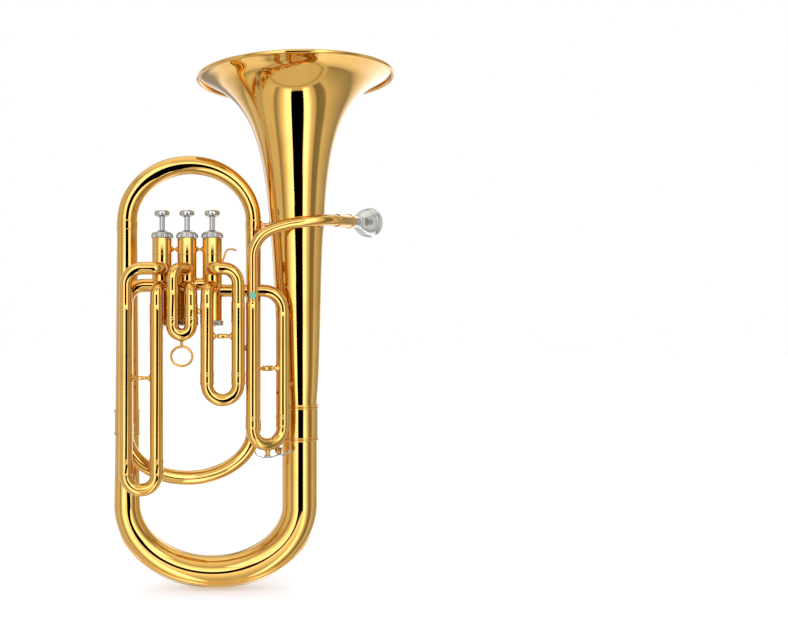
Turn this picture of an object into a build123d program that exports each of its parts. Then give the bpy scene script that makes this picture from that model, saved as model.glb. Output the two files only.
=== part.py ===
"""Baritone horn with three top-action piston valves, built as separate named pieces.

Millimetres.  X runs across the instrument, Y from front to back, Z up along the bell.
The bell, the big bows and the branches lie in the plane Y = 0, the lowest point is Z = 0.
"""

import os
from build123d import *

os.makedirs("parts", exist_ok=True)

BASE = (Align.CENTER, Align.CENTER, Align.MIN)
WALL = 0.8                      # sheet brass of the bell, bows and branches

# bore and slide tubing
BORE_R = 6.7
INNER_R = 7.1                   # inner slide tube, outside
FIT = 0.05                      # running fit between slide tubes
OUTER_R = 7.55                  # outer slide tube, outside
FERRULE_R = 8.15
SOCKET = 6.0                    # length of a crook inside its outer tube
SLIDE_GAP = 0.3                 # gap between an outer tube and the ferrule below it

# bell
BELL_RIM_R = 115.0
BELL_FOOT = (53.0, 193.0)       # X and Z of the lower end of the bell
BELL_TOP = (47.8, 594.6)        # X and Z of the middle of the rim
BELL_FOOT_R = 20.8

# bottom bow and big branches
BOW_Z = 97.4
BOW_LEFT_X = -147.6
BOW_DROP = 78.05
BOW_RADII = (15.4, 18.15, 20.7)
LEFT_JOINT_Z = 192.8
LEFT_JOINT_R = 14.1
GUARD_T = 1.2
TOP_BOW_Z = 426.7
TOP_BOW_RISE = 64.9
TOP_BOW_RADII = (12.0, 10.8, 9.0)
MIDDLE_X = -1.0
INNER_BOW_Z = 183.0
INNER_BOW_DROP = 52.0

# valves
VALVE_Y = -33.0
VALVE_X = (-47.3, -75.6, -103.7)
CASING_R = 11.2
CASING_IN_R = 10.3
PISTON_R = 10.25
CASING_Z = (307.0, 408.0)
PISTON_Z = (336.0, 395.0)
STROKE = 14.0
UPPER_PORT_Z = 369.0
LOWER_PORT_Z = 348.5
LINK_Z = 352.0
ENTRY_Z = 344.7
EXIT_Z = 350.7
STEM_R = 3.15
BUTTON_Z = 427.2
BUTTON_R = 8.9

# slides: leg positions, lower end of the outer tubes, top of each outer tube
SLIDE_Y = -54.0
FIRST_X = (-52.1, -17.8)
SECOND_X = (-90.3, -69.9)
THIRD_X = (-141.8, -107.8)
FIRST_TOP = (331.7, 331.7)
SECOND_TOP = (346.0, 329.5)
THIRD_TOP = (330.0, 330.0)
FIRST_END = 251.9
SECOND_END = 313.3
THIRD_END = 156.2
FIRST_BOW_Z = 240.5
SECOND_BOW_Z = 305.6
THIRD_BOW_Z = 141.0
EXIT_X = -143.9
TUNING_A = (-1.9, -50.0)
TUNING_B = (32.1, -33.0)
TUNING_TOP = (331.0, 322.3)
TUNING_END = 203.0
TUNING_BOW_Z = 191.5

# leadpipe and mouthpiece
LEADPIPE_R = 6.25
RECEIVER_AT = (92.9, -26.0, 424.7)
RECEIVER_DIR = (0.545, 0.838, 0.05)
RECEIVER_L = 36.0


def save(piece, name):
    """Label one piece and write its STEP file."""
    piece.part.label = name
    export_step(piece.part, f"parts/{name}.step")


def upright(x, y, z):
    """Horizontal plane centred on a vertical axis."""
    return Plane(origin=(x, y, z))


def run_of_tube(points, bend, r_out, r_in):
    """Round tube swept along straight runs joined by bends."""
    with BuildPart() as tube:
        with BuildLine() as path:
            FilletPolyline(*points, radius=bend)
        with BuildSketch(Plane(origin=path.line @ 0, z_dir=path.line % 0)):
            Circle(r_out)
            if r_in > 0:
                Circle(r_in, mode=Mode.SUBTRACT)
        sweep()
    return tube.part


def u_plane(a, b, z):
    """Upright plane through two vertical legs, its origin midway between them."""
    across = (b[0] - a[0], b[1] - a[1], 0)
    return Plane(origin=((a[0] + b[0]) / 2, (a[1] + b[1]) / 2, z), x_dir=across,
                 z_dir=(across[1], -across[0], 0))


def leg_half(a, b):
    """Half the distance between two legs."""
    return (Vector(a[0], a[1], 0) - Vector(b[0], b[1], 0)).length / 2


def tapered_bow(plane, half, depth, radii, up):
    """Solid half-ellipse bow with a radius for its left, middle and right."""
    along = radii[::-1] if up else radii
    with BuildPart() as bow:
        with BuildLine(plane) as path:
            EllipticalCenterArc((0, 0), half, depth, 0 if up else 180, arc_size=180)
        for station, radius in zip((0, 0.5, 1), along):
            with BuildSketch(Plane(origin=path.line @ station, z_dir=path.line % station)):
                Circle(radius)
        sweep(multisection=True)
    return bow.part


def inset(radii, by):
    """Radii reduced by one wall thickness."""
    return [radius - by for radius in radii]


def casing_envelope(x):
    """Full outside of a valve casing, used to trim what is soldered to it."""
    with BuildPart() as envelope:
        with Locations((x, VALVE_Y, CASING_Z[0])):
            Cylinder(CASING_R, CASING_Z[1] - CASING_Z[0], align=BASE)
    return envelope.part


def leg_ferrule(x, y, low, high, r_in, r_out):
    """Joining sleeve with a half-round bead at each end."""
    bead = 1.1
    with BuildPart() as sleeve:
        with BuildSketch(Plane.XZ.offset(-y)):
            with Locations((x + (r_in + r_out) / 2, (low + high) / 2)):
                Rectangle(r_out - r_in, high - low)
            with Locations((x + r_out, low + bead), (x + r_out, high - bead)):
                Circle(bead)
            with Locations((x + r_in - 5, (low + high) / 2)):
                Rectangle(10, high - low, mode=Mode.SUBTRACT)
        revolve(axis=Axis((x, y, 0), (0, 0, 1)))
    return sleeve.part


# ---------------------------------------------------------------- bell
BELL_DIR = (BELL_TOP[0] - BELL_FOOT[0], 0, BELL_TOP[1] - BELL_FOOT[1])
BELL_L = Vector(BELL_DIR).length
BELL_PLANE = Plane(origin=(BELL_FOOT[0], 0, BELL_FOOT[1]), x_dir=(BELL_DIR[2], 0, -BELL_DIR[0]),
                   z_dir=(0, -1, 0))
BELL_AXIS = Axis((BELL_FOOT[0], 0, BELL_FOOT[1]), BELL_DIR)
BEAD_R = 2.2
RIM_LAND = BELL_L - 0.6         # flat of the rim that the horn rests on, bell down
THROAT = [
    (BELL_FOOT_R, 21), (22.4, 40), (23.7, 60), (25.4, 95), (27.2, 140),
    (29.8, 198), (33.2, 244), (37.6, 286), (44.2, 320), (54.0, 348), (68.5, 371),
    (87.0, 388), (104.0, 397.4), (BELL_RIM_R - BEAD_R, BELL_L - 0.3),
]

with BuildPart() as bow_leg:
    with Locations((BELL_FOOT[0], 0, BELL_FOOT[1] - 40)):
        Cylinder(BOW_RADII[2], 40, align=BASE)

with BuildPart() as bell:
    with BuildSketch(BELL_PLANE):
        with BuildLine():
            outside = Spline(*THROAT, tangents=[(0, 1), (1, 0.28)])
            foot = Line((BELL_FOOT_R, 0), outside @ 0)
            inside = Spline(*[(r - WALL, z + WALL / 3) for r, z in THROAT],
                            tangents=[(0, 1), (1, 0.28)])
            Line(foot @ 0, (BELL_FOOT_R - WALL, 0))
            Line((BELL_FOOT_R - WALL, 0), inside @ 0)
            Line(outside @ 1, inside @ 1)
        make_face()
        with Locations((0, RIM_LAND)):
            Rectangle(300, 20, align=(Align.CENTER, Align.MIN), mode=Mode.SUBTRACT)
    revolve(axis=BELL_AXIS)
    add(bow_leg.part, mode=Mode.SUBTRACT)
save(bell, "bell")

with BuildPart() as bell_rim_wire:
    with BuildSketch(BELL_PLANE):
        with Locations((BELL_RIM_R - BEAD_R, BELL_L - BEAD_R - 0.3)):
            Circle(BEAD_R)
        with Locations((0, RIM_LAND)):
            Rectangle(300, 20, align=(Align.CENTER, Align.MIN), mode=Mode.SUBTRACT)
    revolve(axis=BELL_AXIS)
    add(bell.part, mode=Mode.SUBTRACT)
save(bell_rim_wire, "bell_rim_wire")

BELL_FERRULE_Z = (172.0, 214.0)
BELL_FERRULE_R = 21.8
with BuildPart() as bell_ferrule:
    with Locations((BELL_FOOT[0], 0, BELL_FERRULE_Z[0])):
        Cylinder(BELL_FERRULE_R, BELL_FERRULE_Z[1] - BELL_FERRULE_Z[0], align=BASE)
    for low in (BELL_FERRULE_Z[0], BELL_FERRULE_Z[1] - 8):
        with Locations((BELL_FOOT[0], 0, low + 1.2)):
            Cylinder(BELL_FERRULE_R + 1.0, 5.6, align=BASE)
    fillet(bell_ferrule.edges().filter_by(lambda e: e.length > 143), 0.9)
    with Locations((BELL_FOOT[0], 0, BELL_FERRULE_Z[0])):
        Cylinder(BOW_RADII[2], BELL_FOOT[1] - BELL_FERRULE_Z[0], align=BASE, mode=Mode.SUBTRACT)
    with Locations(Plane(origin=(BELL_FOOT[0], 0, BELL_FOOT[1]), z_dir=BELL_DIR)):
        Cylinder(BELL_FOOT_R, 30, mode=Mode.SUBTRACT, align=BASE)
        Cylinder(BELL_FOOT_R - 1, 4, mode=Mode.SUBTRACT)
save(bell_ferrule, "bell_ferrule")

# ---------------------------------------------------------------- bottom bow and guard
BOW_A = (BOW_LEFT_X, 0)
BOW_B = (BELL_FOOT[0], 0)
BOW_PLANE = u_plane(BOW_A, BOW_B, BOW_Z)
BOW_HALF = leg_half(BOW_A, BOW_B)
bow_solid = tapered_bow(BOW_PLANE, BOW_HALF, BOW_DROP, BOW_RADII, False)
bow_air = tapered_bow(BOW_PLANE, BOW_HALF, BOW_DROP, inset(BOW_RADII, WALL), False)
bow_jacket = tapered_bow(BOW_PLANE, BOW_HALF, BOW_DROP, inset(BOW_RADII, -GUARD_T), False)
LEG_TAPER_TOP = 177.7

with BuildPart() as bottom_bow:
    add(bow_solid)
    with Locations((BOW_LEFT_X, 0, BOW_Z)):
        Cone(BOW_RADII[0], LEFT_JOINT_R, LEG_TAPER_TOP - BOW_Z, align=BASE)
    with Locations((BOW_LEFT_X, 0, LEG_TAPER_TOP)):
        Cylinder(LEFT_JOINT_R, LEFT_JOINT_Z - LEG_TAPER_TOP, align=BASE)
    with Locations((BELL_FOOT[0], 0, BOW_Z)):
        Cylinder(BOW_RADII[2], BELL_FOOT[1] - BOW_Z, align=BASE)
    add(bow_air, mode=Mode.SUBTRACT)
    with Locations((BOW_LEFT_X, 0, BOW_Z)):
        Cone(BOW_RADII[0] - WALL, LEFT_JOINT_R - WALL, LEG_TAPER_TOP - BOW_Z, align=BASE,
             mode=Mode.SUBTRACT)
    with Locations((BOW_LEFT_X, 0, LEG_TAPER_TOP)):
        Cylinder(LEFT_JOINT_R - WALL, LEFT_JOINT_Z - LEG_TAPER_TOP, align=BASE,
                 mode=Mode.SUBTRACT)
    with Locations((BELL_FOOT[0], 0, BOW_Z)):
        Cylinder(BOW_RADII[2] - WALL, BELL_FOOT[1] - BOW_Z, align=BASE, mode=Mode.SUBTRACT)
save(bottom_bow, "bottom_bow")

with BuildPart() as bow_guard:
    add(bow_jacket)
    add(bow_solid, mode=Mode.SUBTRACT)
    with BuildSketch(Plane.XZ):
        with Locations((-48.5, BOW_Z)):
            Ellipse(120.5, 85.8)
    extrude(amount=40, both=True, mode=Mode.SUBTRACT)
save(bow_guard, "bow_guard")

# ---------------------------------------------------------------- left branch, top bow, middle branch
with BuildPart() as left_branch:
    with Locations((BOW_LEFT_X, 0, LEFT_JOINT_Z)):
        Cylinder(LEFT_JOINT_R, 15.2, align=BASE)
        Cylinder(LEFT_JOINT_R - WALL, 15.2, align=BASE, mode=Mode.SUBTRACT)
    with Locations((BOW_LEFT_X, 0, LEFT_JOINT_Z + 15.2)):
        Cone(LEFT_JOINT_R, TOP_BOW_RADII[0], TOP_BOW_Z - LEFT_JOINT_Z - 15.2, align=BASE)
        Cone(LEFT_JOINT_R - WALL, TOP_BOW_RADII[0] - WALL, TOP_BOW_Z - LEFT_JOINT_Z - 15.2,
             align=BASE, mode=Mode.SUBTRACT)
save(left_branch, "left_branch")

with BuildPart() as left_branch_ferrule:
    add(leg_ferrule(BOW_LEFT_X, 0, LEG_TAPER_TOP, 207.9, LEFT_JOINT_R, LEFT_JOINT_R + 0.7))
save(left_branch_ferrule, "left_branch_ferrule")

TOP_A = (BOW_LEFT_X, 0)
TOP_B = (MIDDLE_X, 0)
TOP_PLANE = u_plane(TOP_A, TOP_B, TOP_BOW_Z)
TOP_HALF = leg_half(TOP_A, TOP_B)
with BuildPart() as top_bow:
    add(tapered_bow(TOP_PLANE, TOP_HALF, TOP_BOW_RISE, TOP_BOW_RADII, True))
    add(tapered_bow(TOP_PLANE, TOP_HALF, TOP_BOW_RISE, inset(TOP_BOW_RADII, WALL), True),
        mode=Mode.SUBTRACT)
save(top_bow, "top_bow")

MIDDLE_R = 8.75
with BuildPart() as middle_branch:
    with Locations((MIDDLE_X, 0, INNER_BOW_Z)):
        Cone(MIDDLE_R, TOP_BOW_RADII[2], TOP_BOW_Z - INNER_BOW_Z, align=BASE)
        Cone(MIDDLE_R - WALL, TOP_BOW_RADII[2] - WALL, TOP_BOW_Z - INNER_BOW_Z, align=BASE,
             mode=Mode.SUBTRACT)
save(middle_branch, "middle_branch")

with BuildPart() as top_bow_ferrules:
    for x, radius in ((BOW_LEFT_X, TOP_BOW_RADII[0]), (MIDDLE_X, TOP_BOW_RADII[2])):
        add(leg_ferrule(x, 0, TOP_BOW_Z - 12, TOP_BOW_Z, radius + 0.3, radius + 0.9))
    add(left_branch.part, mode=Mode.SUBTRACT)
    add(middle_branch.part, mode=Mode.SUBTRACT)
save(top_bow_ferrules, "top_bow_ferrules")

# ---------------------------------------------------------------- exit branch and inner bow
EXIT_R = 7.55
EXIT_LOW_Z = 183.0
INNER_A = (EXIT_X, VALVE_Y)
INNER_B = (MIDDLE_X, 0)
INNER_RADII = (7.75, 8.2, MIDDLE_R)
with BuildPart() as exit_branch:
    add(run_of_tube([(VALVE_X[2], VALVE_Y, EXIT_Z), (EXIT_X, VALVE_Y, EXIT_Z),
                     (EXIT_X, VALVE_Y, EXIT_LOW_Z)], 20, EXIT_R, BORE_R))
    add(casing_envelope(VALVE_X[2]), mode=Mode.SUBTRACT)
save(exit_branch, "exit_branch")

INNER_PLANE = u_plane(INNER_A, INNER_B, INNER_BOW_Z)
INNER_HALF = leg_half(INNER_A, INNER_B)
with BuildPart() as inner_bow:
    add(tapered_bow(INNER_PLANE, INNER_HALF, INNER_BOW_DROP, INNER_RADII, False))
    add(tapered_bow(INNER_PLANE, INNER_HALF, INNER_BOW_DROP, inset(INNER_RADII, WALL), False),
        mode=Mode.SUBTRACT)
save(inner_bow, "inner_bow")

with BuildPart() as inner_bow_ferrules:
    add(leg_ferrule(EXIT_X, VALVE_Y, EXIT_LOW_Z, EXIT_LOW_Z + 12, EXIT_R, EXIT_R + 0.9))
    add(leg_ferrule(MIDDLE_X, 0, INNER_BOW_Z, INNER_BOW_Z + 12, MIDDLE_R + 0.05, MIDDLE_R + 0.9))
    add(middle_branch.part, mode=Mode.SUBTRACT)
save(inner_bow_ferrules, "inner_bow_ferrules")

# ---------------------------------------------------------------- valve casings
SIDE_PORTS = ((ENTRY_Z, LINK_Z), (LINK_Z, LINK_Z), (LINK_Z, EXIT_Z))


def casing(x, right_z, left_z):
    """Open-ended casing with two front ports and a port on each side."""
    with BuildPart() as body:
        with Locations((x, VALVE_Y, CASING_Z[0])):
            Cylinder(CASING_R, CASING_Z[1] - CASING_Z[0], align=BASE)
            Cylinder(CASING_IN_R, CASING_Z[1] - CASING_Z[0], align=BASE, mode=Mode.SUBTRACT)
        for z in (UPPER_PORT_Z, LOWER_PORT_Z):
            with Locations(Plane(origin=(x, VALVE_Y, z), z_dir=(0, -1, 0))):
                Cylinder(BORE_R, CASING_R + 1, align=BASE, mode=Mode.SUBTRACT)
        for z, side in ((right_z, 1), (left_z, -1)):
            with Locations(Plane(origin=(x, VALVE_Y, z), z_dir=(side, 0, 0))):
                Cylinder(BORE_R, CASING_R + 1, align=BASE, mode=Mode.SUBTRACT)
    return body


for number, (x, ports) in enumerate(zip(VALVE_X, SIDE_PORTS), 1):
    save(casing(x, *ports), f"valve_casing_{number}")

with BuildPart() as intervalve_tubes:
    for right, left in ((0, 1), (1, 2)):
        middle = (VALVE_X[right] + VALVE_X[left]) / 2
        with Locations(Plane(origin=(middle, VALVE_Y, LINK_Z), z_dir=(1, 0, 0))):
            Cylinder(INNER_R, 22)
            Cylinder(BORE_R, 22, mode=Mode.SUBTRACT)
    for x in VALVE_X:
        add(casing_envelope(x), mode=Mode.SUBTRACT)
save(intervalve_tubes, "intervalve_tubes")

BALUSTER_Z = 391.4
BALUSTER_HALF = 6.0
with BuildPart() as casing_balusters:
    for right, left in ((0, 1), (1, 2)):
        middle = (VALVE_X[right] + VALVE_X[left]) / 2
        for side in (1, -1):
            with Locations(Plane(origin=(middle, VALVE_Y, BALUSTER_Z), z_dir=(side, 0, 0))):
                Cone(1.2, 4.6, BALUSTER_HALF, align=BASE)
    for x in VALVE_X:
        add(casing_envelope(x), mode=Mode.SUBTRACT)
save(casing_balusters, "casing_balusters")

# ---------------------------------------------------------------- valve caps
CAP_R = 12.5
TOP_CAP_Z = (403.3, 408.0, 410.4, 412.7)
BOTTOM_CAP_Z = (304.3, 307.0, 311.7)
GUIDE_R = 3.45
with BuildPart() as valve_top_caps:
    with Locations(*[(x, VALVE_Y, TOP_CAP_Z[0]) for x in VALVE_X]):
        Cylinder(CAP_R, TOP_CAP_Z[2] - TOP_CAP_Z[0], align=BASE)
    with Locations(*[(x, VALVE_Y, TOP_CAP_Z[2]) for x in VALVE_X]):
        Cone(CAP_R - 1.5, 5.4, TOP_CAP_Z[3] - TOP_CAP_Z[2], align=BASE)
    with Locations(*[(x, VALVE_Y, TOP_CAP_Z[0]) for x in VALVE_X]):
        Cylinder(CASING_R, TOP_CAP_Z[1] - TOP_CAP_Z[0], align=BASE, mode=Mode.SUBTRACT)
        Cylinder(GUIDE_R, 20, align=BASE, mode=Mode.SUBTRACT)
save(valve_top_caps, "valve_top_caps")

with BuildPart() as valve_bottom_caps:
    with Locations(*[(x, VALVE_Y, BOTTOM_CAP_Z[0]) for x in VALVE_X]):
        Cylinder(CAP_R, BOTTOM_CAP_Z[2] - BOTTOM_CAP_Z[0], align=BASE)
        Cylinder(1.5, 10, align=BASE, mode=Mode.SUBTRACT)
    with Locations(*[(x, VALVE_Y, BOTTOM_CAP_Z[1]) for x in VALVE_X]):
        Cylinder(CASING_R, BOTTOM_CAP_Z[2] - BOTTOM_CAP_Z[1], align=BASE, mode=Mode.SUBTRACT)
save(valve_bottom_caps, "valve_bottom_caps")

# ---------------------------------------------------------------- pistons, stems, buttons, springs
ELBOW_R = 4.2
THROUGH_R = 6.2
SPRING_R = 7.6
SPRING_WIRE_R = 0.55


def piston(x, right_z, left_z):
    """Piston with the open passage and the two elbows that the pressed valve lines up."""
    top = STROKE + UPPER_PORT_Z
    low = STROKE + LOWER_PORT_Z
    reach = PISTON_R + 1
    with BuildPart() as body:
        with Locations((x, VALVE_Y, PISTON_Z[0])):
            Cylinder(PISTON_R, PISTON_Z[1] - PISTON_Z[0], align=BASE)
        with BuildLine():
            Line((x + reach, VALVE_Y, right_z), (x - reach, VALVE_Y, left_z))
        with BuildSketch(Plane(origin=(x + reach, VALVE_Y, right_z),
                               z_dir=(-2 * reach, 0, left_z - right_z))):
            Circle(THROUGH_R)
        sweep(mode=Mode.SUBTRACT)
        with BuildLine():
            Spline((x + reach, VALVE_Y, right_z + STROKE), (x + 4, VALVE_Y - 3, top - 9),
                   (x, VALVE_Y - reach, top), tangents=[(-1, 0, 0), (0, -1, 0)])
        with BuildSketch(Plane(origin=(x + reach, VALVE_Y, right_z + STROKE), z_dir=(-1, 0, 0))):
            Circle(ELBOW_R)
        sweep(mode=Mode.SUBTRACT)
        with BuildLine():
            Spline((x, VALVE_Y - reach, low), (x - 4, VALVE_Y - 4, (low + left_z + STROKE) / 2),
                   (x - reach, VALVE_Y, left_z + STROKE), tangents=[(0, 1, 0), (-1, 0, 0)])
        with BuildSketch(Plane(origin=(x, VALVE_Y - reach, low), z_dir=(0, 1, 0))):
            Circle(ELBOW_R)
        sweep(mode=Mode.SUBTRACT)
    return body


def stem(x):
    """Valve stem with a shoulder screwed to the piston."""
    with BuildPart() as rod:
        with Locations((x, VALVE_Y, PISTON_Z[1])):
            Cylinder(STEM_R, BUTTON_Z + 3.2 - PISTON_Z[1], align=BASE)
            Cylinder(6.5, 3.0, align=BASE)
    return rod


def button(x):
    """Finger button with a dished top, screwed on the stem."""
    with BuildPart() as disc:
        with Locations((x, VALVE_Y, BUTTON_Z)):
            Cylinder(5.2, 2.4, align=BASE)
        with Locations((x, VALVE_Y, BUTTON_Z + 1.8)):
            Cylinder(BUTTON_R, 5.9, align=BASE)
        fillet(disc.edges().filter_by(lambda e: e.length > 50), 1.6)
        with Locations((x, VALVE_Y, BUTTON_Z + 7.1)):
            Cylinder(6.4, 2, align=BASE, mode=Mode.SUBTRACT)
        with Locations((x, VALVE_Y, BUTTON_Z - 0.1)):
            Cylinder(STEM_R, 3.3, align=BASE, mode=Mode.SUBTRACT)
    return disc


def spring(x):
    """Compression spring between the bottom cap and the piston."""
    low = BOTTOM_CAP_Z[1] + SPRING_WIRE_R + 0.1
    high = PISTON_Z[0] - SPRING_WIRE_R - 0.1
    with BuildPart() as coil:
        with BuildLine() as path:
            Helix((high - low) / 6.5, high - low, SPRING_R, center=(x, VALVE_Y, low))
        with BuildSketch(Plane(origin=path.line @ 0, z_dir=path.line % 0)):
            Circle(SPRING_WIRE_R)
        sweep(is_frenet=True)
    return coil


for number, (x, ports) in enumerate(zip(VALVE_X, SIDE_PORTS), 1):
    save(piston(x, *ports), f"piston_{number}")
    save(stem(x), f"valve_stem_{number}")
    save(button(x), f"finger_button_{number}")
    save(spring(x), f"valve_spring_{number}")

# ---------------------------------------------------------------- crooks from the valves to the slides
FRONT_IN = VALVE_Y - 5


def crooks(x, upper_points, upper_bend, lower_leg, lower_top):
    """Upper and lower crook of one valve, each ending inside its outer slide tube."""
    upper = run_of_tube([(x, FRONT_IN, UPPER_PORT_Z), *upper_points], upper_bend, INNER_R, BORE_R)
    lower = run_of_tube([(x, FRONT_IN, LOWER_PORT_Z), (lower_leg, SLIDE_Y, LOWER_PORT_Z),
                         (lower_leg, SLIDE_Y, lower_top - SOCKET)], 10, INNER_R, BORE_R)
    with BuildPart() as pair:
        add(upper)
        add(lower)
        add(casing_envelope(x), mode=Mode.SUBTRACT)
    return pair


def turn_points(x, leg, top):
    """Corner points of a crook that comes forward, turns aside and drops into its leg."""
    return [(x, SLIDE_Y, UPPER_PORT_Z), (leg, SLIDE_Y, UPPER_PORT_Z), (leg, SLIDE_Y, top - SOCKET)]


save(crooks(VALVE_X[0], turn_points(VALVE_X[0], FIRST_X[1], FIRST_TOP[1]), (9.5, 17),
            FIRST_X[0], FIRST_TOP[0]), "valve_crooks_1")
save(crooks(VALVE_X[1], [(SECOND_X[0], SLIDE_Y, UPPER_PORT_Z),
                         (SECOND_X[0], SLIDE_Y, SECOND_TOP[0] - SOCKET)], 12,
            SECOND_X[1], SECOND_TOP[1]), "valve_crooks_2")
save(crooks(VALVE_X[2], turn_points(VALVE_X[2], THIRD_X[0], THIRD_TOP[0]), (9.5, 19),
            THIRD_X[1], THIRD_TOP[1]), "valve_crooks_3")

TUNING_BEND = 22.4
with BuildPart() as entry_crook:
    add(run_of_tube([(VALVE_X[0], VALVE_Y, ENTRY_Z), (TUNING_B[0], VALVE_Y, ENTRY_Z),
                     (TUNING_B[0], VALVE_Y, TUNING_TOP[1] - SOCKET)], TUNING_BEND, INNER_R, BORE_R))
    add(casing_envelope(VALVE_X[0]), mode=Mode.SUBTRACT)
save(entry_crook, "entry_crook")


# ---------------------------------------------------------------- slides
def outer_tubes(legs, tops, end):
    """Two fixed outer tubes with a socket at the top and a sliding bore below it."""
    with BuildPart() as pair:
        for (x, y), top in zip(legs, tops):
            with Locations((x, y, end)):
                Cylinder(OUTER_R, top - end, align=BASE)
                Cylinder(INNER_R + FIT, top - end - SOCKET, align=BASE, mode=Mode.SUBTRACT)
            with Locations((x, y, top - SOCKET)):
                Cylinder(INNER_R, SOCKET, align=BASE, mode=Mode.SUBTRACT)
            with Locations((x, y, end)):
                Cylinder(OUTER_R + 0.5, 2.2, align=BASE)
                Cylinder(INNER_R + FIT, 2.2, align=BASE, mode=Mode.SUBTRACT)
    return pair


def inner_tubes(legs, tops, joint):
    """Two inner tubes that slide in the outer tubes."""
    with BuildPart() as pair:
        for (x, y), top in zip(legs, tops):
            with Locations((x, y, joint)):
                Cylinder(INNER_R, top - SOCKET - 1 - joint, align=BASE)
                Cylinder(BORE_R, top - SOCKET - 1 - joint, align=BASE, mode=Mode.SUBTRACT)
    return pair


def slide_bow(legs, joint, bow_z, end):
    """Return bow with the ferrules that join it to the inner tubes."""
    plane = u_plane(legs[0], legs[1], bow_z)
    half = leg_half(legs[0], legs[1])
    with BuildPart() as bow:
        for x, y in legs:
            with Locations((x, y, bow_z)):
                Cylinder(FERRULE_R, end - SLIDE_GAP - bow_z, align=BASE)
                Cylinder(INNER_R, end - SLIDE_GAP - bow_z, align=BASE, mode=Mode.SUBTRACT)
        with BuildLine(plane):
            start = Line((-half, joint - bow_z), (-half, 0))
            turn = CenterArc((0, 0), half, 180, 180)
            Line(turn @ 1, (half, joint - bow_z))
        with BuildSketch(Plane(origin=start @ 0, z_dir=start % 0)):
            Circle(INNER_R)
            Circle(BORE_R, mode=Mode.SUBTRACT)
        sweep()
    return bow


SLIDES = {
    "first": ([(x, SLIDE_Y) for x in FIRST_X], FIRST_TOP, FIRST_END, FIRST_BOW_Z),
    "second": ([(x, SLIDE_Y) for x in SECOND_X], SECOND_TOP, SECOND_END, SECOND_BOW_Z),
    "third": ([(x, SLIDE_Y) for x in THIRD_X], THIRD_TOP, THIRD_END, THIRD_BOW_Z),
    "tuning": ([TUNING_A, TUNING_B], TUNING_TOP, TUNING_END, TUNING_BOW_Z),
}
for name, (legs, tops, end, bow_z) in SLIDES.items():
    joint = (end + bow_z) / 2
    save(outer_tubes(legs, tops, end), f"{name}_slide_outer_tubes")
    save(inner_tubes(legs, tops, joint), f"{name}_slide_inner_tubes")
    save(slide_bow(legs, joint, bow_z, end), f"{name}_slide_bow")

RING_X = -80.1
RING_POST = 4.5
SECOND_HALF = leg_half(*SLIDES["second"][0])
SECOND_LOW = SECOND_BOW_Z - SECOND_HALF - INNER_R
with BuildPart() as pull_ring:
    with BuildSketch(Plane.XZ.offset(-SLIDE_Y)):
        with Locations((RING_X, SECOND_LOW - RING_POST - 12.2)):
            Ellipse(13.2, 12.2)
            Ellipse(10.2, 9.2, mode=Mode.SUBTRACT)
    extrude(amount=1.5, both=True)
    fillet(pull_ring.edges().filter_by(lambda e: e.length > 30), 1.2)
    with Locations((RING_X, SLIDE_Y, SECOND_LOW - RING_POST - 1)):
        Cylinder(1.9, RING_POST + 2.5, align=BASE)
    with BuildLine(u_plane(*SLIDES["second"][0], SECOND_BOW_Z)):
        turn = CenterArc((0, 0), SECOND_HALF, 180, 180)
    with BuildSketch(Plane(origin=turn @ 0, z_dir=turn % 0)):
        Circle(INNER_R)
    sweep(mode=Mode.SUBTRACT)
save(pull_ring, "pull_ring")

# ---------------------------------------------------------------- water key on the tuning slide bow
KEY_PLANE = u_plane(TUNING_A, TUNING_B, TUNING_BOW_Z)
KEY_HALF = leg_half(TUNING_A, TUNING_B)
KEY_ACROSS = KEY_PLANE.z_dir
NIPPLE_LOW = 160.8
PIVOT_U = 13.3
PIVOT_Z = 163.0
PIN_R = 1.0
LEVER_T = 1.2


def key_point(u, z, across=0.0):
    """Point in the plane of the tuning bow, u along it and z as a height."""
    return KEY_PLANE.origin + KEY_PLANE.x_dir * u + KEY_ACROSS * across + Vector(0, 0, z - TUNING_BOW_Z)


with BuildPart() as water_key_saddle:
    with Locations(key_point(0, NIPPLE_LOW)):
        Cylinder(3.2, 8, align=BASE)
    for side in (-3.2, 3.2):
        with Locations(Plane(origin=key_point(PIVOT_U, PIVOT_Z + 3, side), x_dir=KEY_PLANE.x_dir,
                             z_dir=KEY_ACROSS)):
            Box(4.4, 9.5, 1.2)
    with Locations(Plane(origin=key_point(PIVOT_U, PIVOT_Z), z_dir=KEY_ACROSS)):
        Cylinder(PIN_R, 8.4)
    with BuildLine(KEY_PLANE):
        turn = CenterArc((0, 0), KEY_HALF, 180, 180)
    with BuildSketch(Plane(origin=turn @ 0, z_dir=turn % 0)):
        Circle(INNER_R)
    sweep(mode=Mode.SUBTRACT)
    with Locations(key_point(0, NIPPLE_LOW)):
        Cylinder(1.9, 12, align=BASE, mode=Mode.SUBTRACT)
save(water_key_saddle, "water_key_saddle")

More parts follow.
